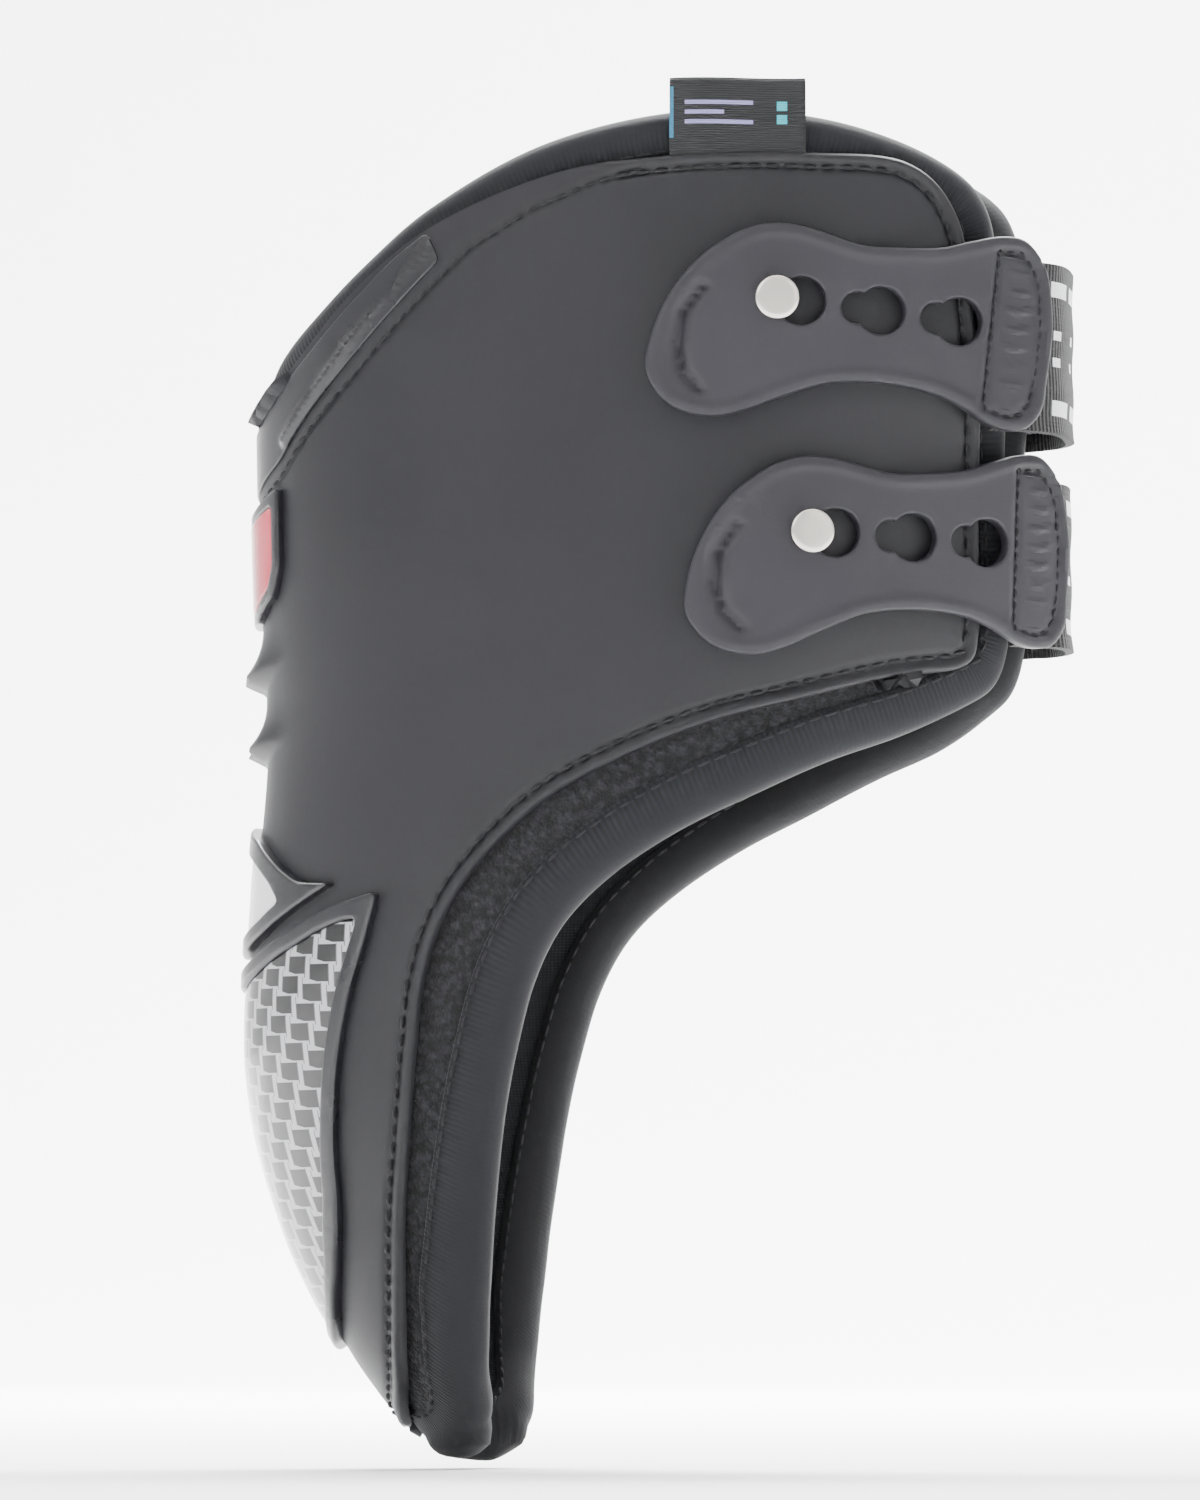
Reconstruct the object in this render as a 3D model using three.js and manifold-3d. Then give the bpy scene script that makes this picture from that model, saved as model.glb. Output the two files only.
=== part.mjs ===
// One open-front tendon boot with two stud straps, as separate closed solids.
// X is forward (the open front), Z is up, Y = 0 is the plane of symmetry.
// The stud side is at -Y, the side the elastics are sewn to is at +Y.
import * as THREE from 'three';
import { mergeVertices } from 'three/addons/utils/BufferGeometryUtils.js';
import Module from 'manifold-3d';

const wasm = await Module();
wasm.setup();

// ---- driving dimensions, mm ----
// Outer face of the shell: [height, x of the spine line]
const SPINE = [
  [0, -44.5], [3, -46.5], [8.5, -51], [17, -57], [28, -63], [43.5, -69.5], [62, -74.8],
  [85, -77], [110, -76], [135, -74], [160, -75], [197, -76], [265, -76.5],
];
// [height, half width across the boot]
const HALF_WIDTH = [[0, 18], [15, 26], [45, 33], [85, 38], [130, 42], [170, 44], [220, 43], [265, 41.5]];
// [height, x where the boot is widest]
const WIDEST = [[0, -20], [40, -20], [85, -12], [130, 0], [160, 8], [265, 8]];
// [height, radius of the wall in plan ahead of its widest point]
const FRONT_RADIUS = [[0, 100], [190, 100], [214, 125], [265, 125]];
// Lines from the spine to the front: [spine z, shell edge x, z, liner edge x, z]
const VEINS = [
  [1.8, -45.4, 2.7, -33.5, -1.2],
  [8, -44, 10, -28.6, 5],
  [13, -43.2, 20, -27, 15],
  [20, -42.6, 31, -25.8, 29],
  [28, -42, 42.3, -24.4, 42.3],
  [38, -40.6, 58, -22.8, 57],
  [49, -39, 75, -19.5, 75],
  [60, -37.2, 89, -15.5, 89],
  [70, -33, 101.5, -9.5, 100],
  [80, -25, 112.6, 0, 109],
  [90, -12, 124, 13, 117.5],
  [100, 4.3, 132.4, 26.5, 124],
  [110, 20.5, 138.7, 40.5, 130.5],
  [119, 37, 143, 53.5, 135.5],
  [127, 54, 147.5, 64.5, 141],
  [134, 67.5, 150, 70.5, 146],
  [141, 70.3, 158, 73.3, 157],
  [149, 70.5, 177, 73.3, 176],
  [155.5, 70.9, 197, 73.3, 197],
  [161.5, 70.3, 217, 73.2, 218],
  [166.5, 67.2, 237, 71, 239],
  [169.5, 58, 247.6, 62, 249],
  [172, 39.5, 249.3, 41, 256.5],
  [174.5, 15, 249, 15, 258],
  [176.5, -10, 245.6, -12, 252.5],
  [178.5, -34, 236.7, -35, 241.2],
  [180, -50, 226, -49, 230.5],
  [190, -63, 213.3, -60, 220.7],
  [199, -73, 202, -69.5, 209.5],
];
const COLUMNS = 8;
// Layers, measured outward from the shell's outer face: [outer, inner]
const SHELL = [0, -2.5];
const PILE = [-3.4, -4.6];
const FOAM = [-5.5, -9.8];
const LINING = [-10.6, -11.2];
const RAISED = [2.1, 0.75];
const BINDING_WIDTH = 4.2;
const BINDING_DEPTH = [-4.3, -11.2];
// Studs and the tabs that button over them
const STUDS = { upper: [33, 220.3], lower: [39, 175.2] };
const TAB_SLOPE = { upper: 6.5, lower: 2.2 };
const STUD_HEAD_R = 4.33;
const STUD_SHANK_R = 2.7;
const HOLE_SMALL_R = 3.05;
const HOLE_BIG_R = 4.65;
const HOLE_STEP = 4.6;
const HOLE_PITCH = 15.3;
const TAB_FACE = [4, 1];
const TAB_OUTLINE = [
  [-23.1, -14.6], [-21.1, -4], [-16, 5.4], [-8.7, 11.9], [-2.2, 14.4], [4.7, 14.2], [14.4, 12.2],
  [21.8, 12.6], [29.8, 13.7], [35.9, 15.8], [41.9, 17.7], [46.9, 17.7], [51, 14.2], [53.1, 9.6],
  [54.6, 1.1], [54.4, -8.2], [54, -14.5], [51.3, -18.5], [47.7, -19.5], [43.3, -18.9], [36.7, -16],
  [30.2, -14.3], [20.7, -13.9], [11.4, -15.2], [3.3, -18.7], [-3.3, -22.1], [-9.1, -24],
  [-15.5, -23.6], [-20.4, -20.5],
];
// Elastics: [bottom z, top z], seen in plan from the tab round the front to the far wall
const FAR_REACH = 3;
const ELASTIC_Z = { upper: [196, 229], lower: [154.5, 186.5] };
const ELASTIC_THICK = 1.6;
const ELASTIC_FRONT = [[84.2, -8], [84.6, 1], [83.4, 9.5], [80.2, 17]];
const SEWN_X = [70.2, 64, 55, 45];

// ---- helpers ----
function solid(geometry) {
  const plain = geometry.clone();
  plain.deleteAttribute('normal');
  plain.deleteAttribute('uv');
  const welded = mergeVertices(plain, 1e-4);
  const mesh = new wasm.Mesh({
    numProp: 3,
    vertProperties: new Float32Array(welded.attributes.position.array),
    triVerts: new Uint32Array(welded.index.array),
  });
  return new wasm.Manifold(mesh);
}

function geometryOf(manifold) {
  const mesh = manifold.getMesh();
  const out = new THREE.BufferGeometry();
  out.setAttribute('position', new THREE.BufferAttribute(Float32Array.from(mesh.vertProperties), 3));
  out.setIndex(new THREE.BufferAttribute(Uint32Array.from(mesh.triVerts), 1));
  out.computeVertexNormals();
  return out;
}

function welded(geometry) {
  const plain = geometry.clone();
  plain.deleteAttribute('normal');
  plain.deleteAttribute('uv');
  const out = mergeVertices(plain, 1e-4);
  out.computeVertexNormals();
  return out;
}

function along(table, z) {
  const last = table.length - 1;
  if (z <= table[0][0]) return table[0][1];
  if (z >= table[last][0]) return table[last][1];
  let i = 0;
  while (table[i + 1][0] < z) i += 1;
  const slope = (k) => {
    const a = table[Math.max(k - 1, 0)];
    const b = table[Math.min(k + 1, last)];
    return (b[1] - a[1]) / (b[0] - a[0]);
  };
  const [z0, v0] = table[i];
  const [z1, v1] = table[i + 1];
  const h = z1 - z0;
  const q = (z - z0) / h;
  const keep = (1 + 2 * q) * (1 - q) ** 2 * v0 + q * q * (3 - 2 * q) * v1;
  return keep + h * q * (1 - q) ** 2 * slope(i) + h * q * q * (q - 1) * slope(i + 1);
}

function plan(t, z) {
  const widest = along(WIDEST, z);
  const half = along(HALF_WIDTH, z);
  const depth = widest - along(SPINE, z);
  const side = Math.sign(t);
  const turn = Math.abs(t);
  if (turn <= Math.PI / 2) return new THREE.Vector3(widest - depth * Math.cos(t), half * Math.sin(t), z);
  const run = depth * (turn - Math.PI / 2);
  const radius = along(FRONT_RADIUS, z);
  const drop = radius - Math.sqrt(Math.max(radius ** 2 - run ** 2, 1));
  return new THREE.Vector3(widest + run, side * (half - drop), z);
}

const STEP = 0.01;
const lengthTables = new Map();
function lengths(z) {
  const key = Math.round(z * 50);
  if (!lengthTables.has(key)) {
    const list = [0];
    for (let i = 1; i <= 320; i += 1) {
      list.push(list[i - 1] + plan(i * STEP, z).distanceTo(plan((i - 1) * STEP, z)));
    }
    lengthTables.set(key, list);
  }
  return lengthTables.get(key);
}

function turnAt(s, z) {
  const list = lengths(z);
  const want = Math.abs(s);
  let low = 0;
  let high = list.length - 1;
  while (high - low > 1) {
    const mid = (low + high) >> 1;
    if (list[mid] <= want) low = mid;
    else high = mid;
  }
  const part = (want - list[low]) / (list[high] - list[low]);
  return Math.sign(s) * (low + part) * STEP;
}

// s is the distance round the shell from the spine, negative on the stud side
function skin(s, z, out) {
  const t = turnAt(s, z);
  const d = 0.004;
  const across = plan(t + d, z).sub(plan(t - d, z));
  const up = plan(t, z + 0.4).sub(plan(t, z - 0.4));
  const normal = across.cross(up).normalize().negate();
  return plan(t, z).addScaledVector(normal, out);
}

function distanceTo(x, z) {
  const widest = along(WIDEST, z);
  const depth = widest - along(SPINE, z);
  const ratio = THREE.MathUtils.clamp((widest - x) / depth, -1, 1);
  const t = x <= widest ? Math.acos(ratio) : Math.PI / 2 + (x - widest) / depth;
  const list = lengths(z);
  const i = Math.min(Math.floor(t / STEP), list.length - 2);
  return list[i] + (list[i + 1] - list[i]) * (t / STEP - i);
}

// Distance round to where the liner's edge, 7 mm inside the shell's face, lies at x
function linerDistanceTo(x, z) {
  const s = distanceTo(x, z);
  return distanceTo(x + skin(s, z, 0).x - skin(s, z, -7).x, z);
}

// How much further the far wall of the liner reaches than the near one
function farExtra(x, z) {
  const { clamp } = THREE.MathUtils;
  return FAR_REACH * clamp((75 - x) / 20, 0, 1) * clamp((250 - z) / 15, 0.4, 1);
}

// A vein as points [s, z] with running lengths
function vein(row, side) {
  const [zs, shellX, shellZ, linerX, linerZ] = VEINS[row];
  const shell = [distanceTo(shellX, shellZ), shellZ];
  const liner = [linerDistanceTo(linerX, linerZ), linerZ];
  const overhang = Math.hypot(liner[0] - shell[0], liner[1] - shell[1]);
  const reach = side > 0 ? 1 + farExtra(linerX, linerZ) / overhang : 1;
  liner[0] = shell[0] + reach * (liner[0] - shell[0]);
  liner[1] = shell[1] + reach * (liner[1] - shell[1]);
  const first = Math.hypot(shell[0], shell[1] - zs);
  const second = Math.hypot(liner[0] - shell[0], liner[1] - shell[1]);
  const at = (d) => {
    const [from, to, q] = d <= first
      ? [[0, zs], shell, d / first]
      : [shell, liner, (d - first) / second];
    return [side * (from[0] + q * (to[0] - from[0])), from[1] + q * (to[1] - from[1])];
  };
  const before = VEINS[Math.max(row - 1, 0)];
  const after = VEINS[Math.min(row + 1, VEINS.length - 1)];
  const ahead = linerDistanceTo(after[3], after[4]) - linerDistanceTo(before[3], before[4]);
  const edge = new THREE.Vector2(ahead, after[4] - before[4]);
  const run = new THREE.Vector2(liner[0] - shell[0], liner[1] - shell[1]);
  if (second < 6) run.set(liner[0], liner[1] - zs);
  const slant = Math.max(0.25, Math.abs(edge.normalize().cross(run.normalize())));
  return { at, shell: first, liner: first + second, foam: first + second - (BINDING_WIDTH + 1.5) / slant };
}

function bend(geometry, map) {
  const position = geometry.attributes.position;
  const p = new THREE.Vector3();
  for (let i = 0; i < position.count; i += 1) {
    p.fromBufferAttribute(position, i);
    const q = map(p, i);
    position.setXYZ(i, q.x, q.y, q.z);
  }
  return geometry;
}

// Both faces of a slab split their squares along the same diagonal, mirrored about the spine,
// so stacked layers stay clear of each other
function slabBox(nx, ny) {
  const box = new THREE.BoxGeometry(nx, ny, 1, nx, ny, 1);
  const { index, groups, attributes } = box;
  for (const [group, flipped] of [[groups[4], 1], [groups[5], -1]]) {
    for (let i = group.start; i < group.start + group.count; i += 6) {
      const [a, b, d, , c] = [0, 1, 2, 3, 4].map((k) => index.getX(i + k));
      const middle = attributes.position.getX(a) + attributes.position.getX(c);
      if (middle * flipped > 0) [a, b, c, a, c, d].forEach((corner, k) => index.setX(i + k, corner));
    }
  }
  return box;
}

// A slab whose grid is laid on the veins
function layer(firstRow, lastRow, faces, reach) {
  const rows = lastRow - firstRow;
  const box = slabBox(2 * COLUMNS, rows);
  return bend(box, (p) => {
    const column = -Math.round(p.x);
    const row = firstRow + Math.round(p.y + rows / 2);
    const side = column < 0 ? -1 : 1;
    const line = vein(row, side);
    const shared = Math.min(line.shell, line.foam) - 1.6;
    const n = Math.abs(column);
    const d = n === COLUMNS ? reach(line) : (shared * n) / (COLUMNS - 1);
    const [s, z] = line.at(d);
    return skin(s, z, p.z > 0 ? faces[0] : faces[1]);
  });
}

// A closed loop on the skin: [s, z] points of the stud side, mirrored to close
function mirrored(points) {
  const near = points.map(([s, z]) => [-s, z]);
  const far = points.filter(([s]) => s > 0.01).reverse();
  return [...near, ...far];
}

function grown(loop, width) {
  const count = loop.length;
  return loop.map(([s, z], i) => {
    const [s0, z0] = loop[(i + count - 1) % count];
    const [s1, z1] = loop[(i + 1) % count];
    const a = new THREE.Vector2(s - s0, z - z0).normalize();
    const b = new THREE.Vector2(s1 - s, z1 - z).normalize();
    const t = a.clone().add(b).normalize();
    const stretch = width / Math.max(0.6, t.dot(a));
    return [s + t.y * stretch, z - t.x * stretch];
  });
}

function ring(outer, inner, faces) {
  const count = outer.length;
  const torus = new THREE.TorusGeometry(10, 2, 4, count);
  const uv = torus.attributes.uv;
  return bend(torus, (p, i) => {
    const step = Math.round(uv.getX(i) * count) % count;
    const corner = Math.round(uv.getY(i) * 4) % 4;
    const [s, z] = corner === 0 || corner === 1 ? outer[step] : inner[step];
    return skin(s, z, corner === 1 || corner === 2 ? faces[0] : faces[1]);
  });
}

// A patch across the spine between a lower and an upper edge, both [s, z] lists of the stud side
function patch(lower, upper, rows, faces) {
  const half = lower.length - 1;
  const box = slabBox(2 * half, rows);
  return bend(box, (p) => {
    const column = -Math.round(p.x);
    const n = Math.abs(column);
    const q = (p.y + rows / 2) / rows;
    const s = lower[n][0] + q * (upper[n][0] - lower[n][0]);
    const z = lower[n][1] + q * (upper[n][1] - lower[n][1]);
    return skin((column < 0 ? -1 : 1) * s, z, p.z > 0 ? faces[0] : faces[1]);
  });
}

// ---- body of the boot ----
const LAST = VEINS.length - 1;

function fin(height) {
  const wedge = new THREE.BoxGeometry(2, 2, 2, 6, 2, 1);
  return bend(wedge, (p) => {
    const s = -p.x * 13;
    const fade = 1 - Math.abs(p.x) ** 2;
    const z = height + p.y * 5 - 0.5;
    const proud = p.y === 0 ? 0.3 + 3.6 * fade : 0.15;
    return skin(s, z + Math.abs(p.x) * 4, p.z > 0 ? proud : -1);
  });
}

function studFrame(which) {
  const [x, z] = STUDS[which];
  const radius = along(FRONT_RADIUS, z);
  const angle = Math.asin((x - along(WIDEST, z)) / radius);
  const centreY = radius - along(HALF_WIDTH, z);
  return { angle, z, x0: along(WIDEST, z), centreY, radius };
}

// A point on the curved plane of a tab: u towards the elastic, v up, h outward
function onTab(which, u, v, h) {
  const frame = studFrame(which);
  const slope = THREE.MathUtils.degToRad(TAB_SLOPE[which]);
  const angle = frame.angle + (u * Math.cos(slope) + v * Math.sin(slope)) / frame.radius;
  const radius = frame.radius + h;
  return new THREE.Vector3(
    frame.x0 + radius * Math.sin(angle),
    frame.centreY - radius * Math.cos(angle),
    frame.z - u * Math.sin(slope) + v * Math.cos(slope),
  );
}

function studPart(which, radius, from, to, segments = 24) {
  const body = new THREE.CylinderGeometry(radius, radius, to - from, segments);
  body.rotateX(Math.PI / 2);
  body.translate(0, 0, (from + to) / 2);
  const frame = studFrame(which);
  body.rotateX(Math.PI / 2);
  body.rotateZ(frame.angle);
  const base = onTab(which, 0, 0, 0);
  body.translate(base.x, base.y, base.z);
  return solid(body);
}

function shell() {
  let body = solid(layer(0, LAST, SHELL, (line) => line.shell));
  for (const height of [148, 134]) body = body.add(solid(fin(height)));
  for (const which of ['upper', 'lower']) body = body.subtract(studPart(which, STUD_SHANK_R + 0.3, -5, 3));
  return geometryOf(body);
}

function pile() {
  let body = solid(layer(1, LAST - 2, PILE, (line) => line.foam));
  for (const which of ['upper', 'lower']) body = body.subtract(studPart(which, 7.5, -6, 0));
  return geometryOf(body);
}

function foam() {
  return welded(layer(1, LAST - 2, FOAM, (line) => line.foam));
}

function lining() {
  return welded(layer(1, LAST - 2, LINING, (line) => line.foam));
}

function bindingPath(side) {
  const points = [];
  const bottom = vein(0, side);
  const top = vein(LAST, side);
  for (const q of [0.02, 0.35, 0.7]) points.push(bottom.at(q * bottom.liner));
  for (let row = 0; row <= LAST; row += 1) points.push(vein(row, side).at(vein(row, side).liner));
  for (const q of [0.7, 0.35, 0.02]) points.push(top.at(q * top.liner));
  return points;
}

function binding(side) {
  const points = bindingPath(side);
  const count = points.length - 1;
  const tube = new THREE.CylinderGeometry(1, 1, count, 8, count);
  const middle = (BINDING_DEPTH[0] + BINDING_DEPTH[1]) / 2;
  const deep = (BINDING_DEPTH[0] - BINDING_DEPTH[1]) / 2;
  const half = BINDING_WIDTH / 2;
  return welded(bend(tube, (p) => {
    const i = Math.round(p.y + count / 2);
    const before = points[Math.max(i - 1, 0)];
    const after = points[Math.min(i + 1, count)];
    const t = new THREE.Vector2(after[0] - before[0], after[1] - before[1]).normalize();
    const inward = new THREE.Vector2(-t.y, t.x).multiplyScalar(-side * -1);
    if (i < 1 || i > count - 1) inward.set(0, i < 1 ? 1 : -1);
    const across = half + Math.sign(p.x) * Math.min(1, Math.abs(p.x) * 1.2) * half;
    const out = middle + Math.sign(p.z) * Math.min(1, Math.abs(p.z) * 1.2) * deep * side;
    return skin(points[i][0] + inward.x * across, points[i][1] + inward.y * across, out);
  }));
}

// ---- trim on the spine ----
const STRIKE_LOOP = [
  [0, 18.5], [7, 20], [13.6, 24], [22, 33], [27.5, 41], [31, 49], [35, 63], [38, 75], [41.5, 86.5],
  [45, 96], [48, 107], [38.5, 104.6], [29, 101], [17.5, 96], [8, 93], [0, 92],
];
const STRIKE_LOWER = [[0, 21.5], [7, 23], [14, 28], [20.5, 36], [27, 48], [31.5, 62], [34.7, 75], [38.3, 87]];
const STRIKE_UPPER = [[0, 88], [7.5, 89], [15, 91.5], [22, 94.5], [28.5, 97], [34.5, 99.6], [39.5, 101.2], [43.8, 102]];
const INSERT_LOOP = [
  [0, 94.7], [9, 96.4], [17, 99.2], [26, 103.4], [37, 108.6], [28.4, 109], [23.3, 111.4],
  [18.8, 114], [12.3, 117.8], [0, 121],
];
const INSERT_HOLE = [
  [0, 98.2], [8.5, 99.7], [15.5, 102], [22.5, 105.4], [26, 107.6], [22.8, 108.6], [19, 109.8],
  [14.8, 111.6], [9.6, 114], [0, 116.5],
];
const INSERT_LOWER = [[0, 98.9], [5, 99.5], [10, 101], [15, 103.1], [20, 105.6]];
const INSERT_UPPER = [[0, 115.7], [5, 114.6], [9.8, 112.6], [14.5, 110.3], [19.4, 108.4]];
const BADGE_LOOP = [
  [0, 160], [8.5, 161], [17.5, 165.6], [20.2, 171], [20.4, 187], [9, 183.2], [0, 181.5],
];
const BADGE_HOLE = [[0, 162.4], [7.8, 163.3], [15.8, 167.4], [18, 172], [18.1, 183.6], [8.4, 180.7], [0, 179.2]];
const BADGE_LOWER = [[0, 163.1], [6, 163.7], [12, 166.2], [17.2, 172.2]];
const BADGE_UPPER = [[0, 178.5], [6, 179.4], [12, 181.2], [17.3, 182.6]];

function strikeFrame() {
  const outer = mirrored(STRIKE_LOOP);
  const lower = [...STRIKE_LOWER];
  const upper = [...STRIKE_UPPER].reverse();
  const inner = mirrored([...lower, ...upper]);
  const inside = grown(inner, -0.5);
  return welded(ring(outer, inside, [2.4, 0.75]));
}

function collar() {
  const rows = 3;
  const lower = [
    [0, 185], [10, 187.5], [20, 192.5], [30, 202], [38, 210.5], [46, 217.5], [54, 223.3], [62, 228.6],
    [72, 232.6], [84, 237.4],
  ];
  const upper = [
    [0, 196.2], [10, 200], [20, 207], [30, 214.4], [38, 219.6], [46, 224.6], [54, 229.4],
    [62, 233.6], [72, 237.6], [84, 241.2],
  ];
  return welded(patch(lower, upper, rows, [1.7, 0.75]));
}

// ---- straps ----
function prism(which, shape, from, to) {
  const body = new THREE.ExtrudeGeometry(shape, { depth: 1, bevelEnabled: false, curveSegments: 6 });
  return solid(bend(body, (p) => onTab(which, p.x, p.y, p.z > 0.5 ? to : from)));
}

function keyhole(centre) {
  const shape = new THREE.Shape();
  const reach = HOLE_STEP;
  const cross = (HOLE_SMALL_R ** 2 - HOLE_BIG_R ** 2 + reach ** 2) / (2 * reach);
  const small = Math.acos(cross / HOLE_SMALL_R);
  const big = Math.acos((reach - cross) / HOLE_BIG_R);
  shape.absarc(centre, 0, HOLE_SMALL_R, small, 2 * Math.PI - small, false);
  shape.absarc(centre + reach, 0, HOLE_BIG_R, Math.PI + big, Math.PI - big, false);
  return shape;
}

function tab(which) {
  const slab = new THREE.BoxGeometry(84, 50, 1, 12, 1, 1);
  const strip = solid(bend(slab, (p) => onTab(which, p.x + 16, p.y - 3, p.z > 0 ? TAB_FACE[0] : TAB_FACE[1])));
  const curve = new THREE.CatmullRomCurve3(TAB_OUTLINE.map(([u, v]) => new THREE.Vector3(u, v, 0)), true);
  const outline = new THREE.Shape(curve.getPoints(40).slice(0, 40).map((p) => new THREE.Vector2(p.x, p.y)));
  let body = strip.intersect(prism(which, outline, -9, 14));
  for (let i = 0; i < 3; i += 1) body = body.subtract(prism(which, keyhole(i * HOLE_PITCH), -9, 14));
  return geometryOf(body);
}

// The elastic in plan: from under the tab's end, round the front to the far corner
function elasticPoints(which) {
  const near = [43, 46.5, 50].map((u) => onTab(which, u, 0, -0.4));
  const lean = which === 'upper' ? 3.5 : 0;
  const front = ELASTIC_FRONT.map(([x, y]) => new THREE.Vector3(x, y + (y < 0 ? -lean : lean), 0));
  return [...near, ...front, cornerPoint(which, 75.4), cornerPoint(which, 72.6)];
}

function cornerPoint(which, x) {
  const z = which === 'upper' ? 222 : 172;
  const run = Math.max(0, x - 73);
  return skin(distanceTo(Math.min(x, 73), z), z, 1.7).add(new THREE.Vector3(run, -run, 0));
}

function strip(which, points, count) {
  const flat = points.map((p) => new THREE.Vector3(p.x, p.y, 0));
  const curve = new THREE.CatmullRomCurve3(flat, false, 'centripetal');
  const [low, high] = ELASTIC_Z[which];
  const box = new THREE.BoxGeometry(count, 1, high - low, count, 1, 1);
  return welded(bend(box, (p) => {
    const q = p.x / count + 0.5;
    const here = curve.getPointAt(q);
    const t = curve.getTangentAt(q);
    const out = new THREE.Vector3(t.y, -t.x, 0);
    here.addScaledVector(out, -p.y * ELASTIC_THICK);
    here.z = (low + high) / 2 + p.z;
    return here;
  }));
}

function stud(which) {
  const shank = studPart(which, STUD_SHANK_R, -2.7, 4.2);
  const head = studPart(which, STUD_HEAD_R, 4.1, 5.9);
  return geometryOf(shank.add(head));
}

function backPlate(which) {
  return geometryOf(studPart(which, 5.5, -4.9, -4));
}

function label() {
  const box = new THREE.BoxGeometry(26.5, 14, 1, 5, 2, 1);
  return welded(bend(box, (p) => {
    const base = skin(-distanceTo(25.6, 249) - p.x, 249, p.z > 0 ? -0.5 : -1.7);
    base.z = 256.9 + p.y;
    return base;
  }));
}

// ---- assembly ----
const group = new THREE.Group();
group.name = 'tendon_boot';

function place(name, geometry, colour, roughness = 0.8, metalness = 0) {
  const material = new THREE.MeshStandardMaterial({ color: colour, roughness, metalness });
  material.name = name;
  const mesh = new THREE.Mesh(geometry, material);
  mesh.name = name;
  group.add(mesh);
}

place('outer_shell', shell(), '#45474d', 0.6);
place('back_collar', collar(), '#3c3d43', 0.35);
place('badge_bezel', welded(ring(mirrored(BADGE_LOOP), mirrored(BADGE_HOLE), RAISED)), '#2a2b30', 0.4);
place('spine_badge', welded(patch(BADGE_LOWER, BADGE_UPPER, 2, [1.7, 0.75])), '#c8324a', 0.4);
place('insert_frame', welded(ring(mirrored(INSERT_LOOP), mirrored(INSERT_HOLE), RAISED)), '#3a3b41', 0.4);
place('spine_insert', welded(patch(INSERT_LOWER, INSERT_UPPER, 2, [1.6, 0.75])), '#d2d2d6', 0.3, 0.4);
place('strike_frame', strikeFrame(), '#3a3b41', 0.4);
place('strike_pad', welded(patch(STRIKE_LOWER, STRIKE_UPPER, 8, [1.8, 0.75])), '#b9b9bd', 0.3, 0.3);
place('loop_pile_facing', pile(), '#25272d', 1);
place('liner_foam', foam(), '#2b2d33', 0.9);
place('liner_lining', lining(), '#1c1f27', 0.95);
place('binding_near', binding(-1), '#25272e', 0.9);
place('binding_far', binding(1), '#25272e', 0.9);
place('woven_label', label(), '#353a42', 0.9);
for (const which of ['upper', 'lower']) {
  place(`${which}_stud`, stud(which), '#cdc6bd', 0.25, 1);
  place(`${which}_stud_backplate`, backPlate(which), '#8d8f93', 0.4, 1);
  place(`${which}_tab`, tab(which), '#4b4b51', 0.55);
  place(`${which}_elastic`, strip(which, elasticPoints(which), 16), '#26262a', 0.95);
  place(`${which}_elastic_sewn_end`, strip(which, SEWN_X.map((x) => cornerPoint(which, x)), 5), '#26262a', 0.95);
}

export default group;
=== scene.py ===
import math

import bpy
import numpy as np
from bpy.props import FloatProperty, PointerProperty, StringProperty
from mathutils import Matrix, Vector


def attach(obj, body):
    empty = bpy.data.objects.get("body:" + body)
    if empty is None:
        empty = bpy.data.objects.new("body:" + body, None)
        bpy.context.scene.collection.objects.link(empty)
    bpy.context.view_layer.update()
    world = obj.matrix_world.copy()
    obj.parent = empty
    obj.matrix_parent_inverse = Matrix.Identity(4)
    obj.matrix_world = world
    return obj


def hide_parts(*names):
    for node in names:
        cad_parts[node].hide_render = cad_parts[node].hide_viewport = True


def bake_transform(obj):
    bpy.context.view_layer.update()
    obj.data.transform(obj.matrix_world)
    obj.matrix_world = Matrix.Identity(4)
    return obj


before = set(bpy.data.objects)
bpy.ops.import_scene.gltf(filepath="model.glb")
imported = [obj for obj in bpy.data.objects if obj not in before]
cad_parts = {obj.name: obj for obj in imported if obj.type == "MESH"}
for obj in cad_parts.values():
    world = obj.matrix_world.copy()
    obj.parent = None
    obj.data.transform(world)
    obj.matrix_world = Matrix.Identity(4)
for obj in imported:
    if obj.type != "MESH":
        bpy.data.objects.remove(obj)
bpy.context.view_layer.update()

bl_info = {
    "name": "Tendon boot",
    "version": (1, 0, 0),
    "blender": (4, 5, 0),
    "location": "View3D > Sidebar > Tendon boot",
    "description": "Builds an open-front tendon boot on its packed frame",
    "category": "Object",
}

MM = 1000

# ---- the boot's form, mm: X forward, Z up, stud side at -Y ----
SPINE = [(0, -44.5), (3, -46.5), (8.5, -51), (17, -57), (28, -63), (43.5, -69.5), (62, -74.8),
         (85, -77), (110, -76), (135, -74), (160, -75), (197, -76), (265, -76.5)]
HALF_WIDTH = [(0, 18), (15, 26), (45, 33), (85, 38), (130, 42), (170, 44), (220, 43), (265, 41.5)]
WIDEST = [(0, -20), (40, -20), (85, -12), (130, 0), (160, 8), (265, 8)]
FRONT_RADIUS = [(0, 100), (190, 100), (214, 125), (265, 125)]
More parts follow.
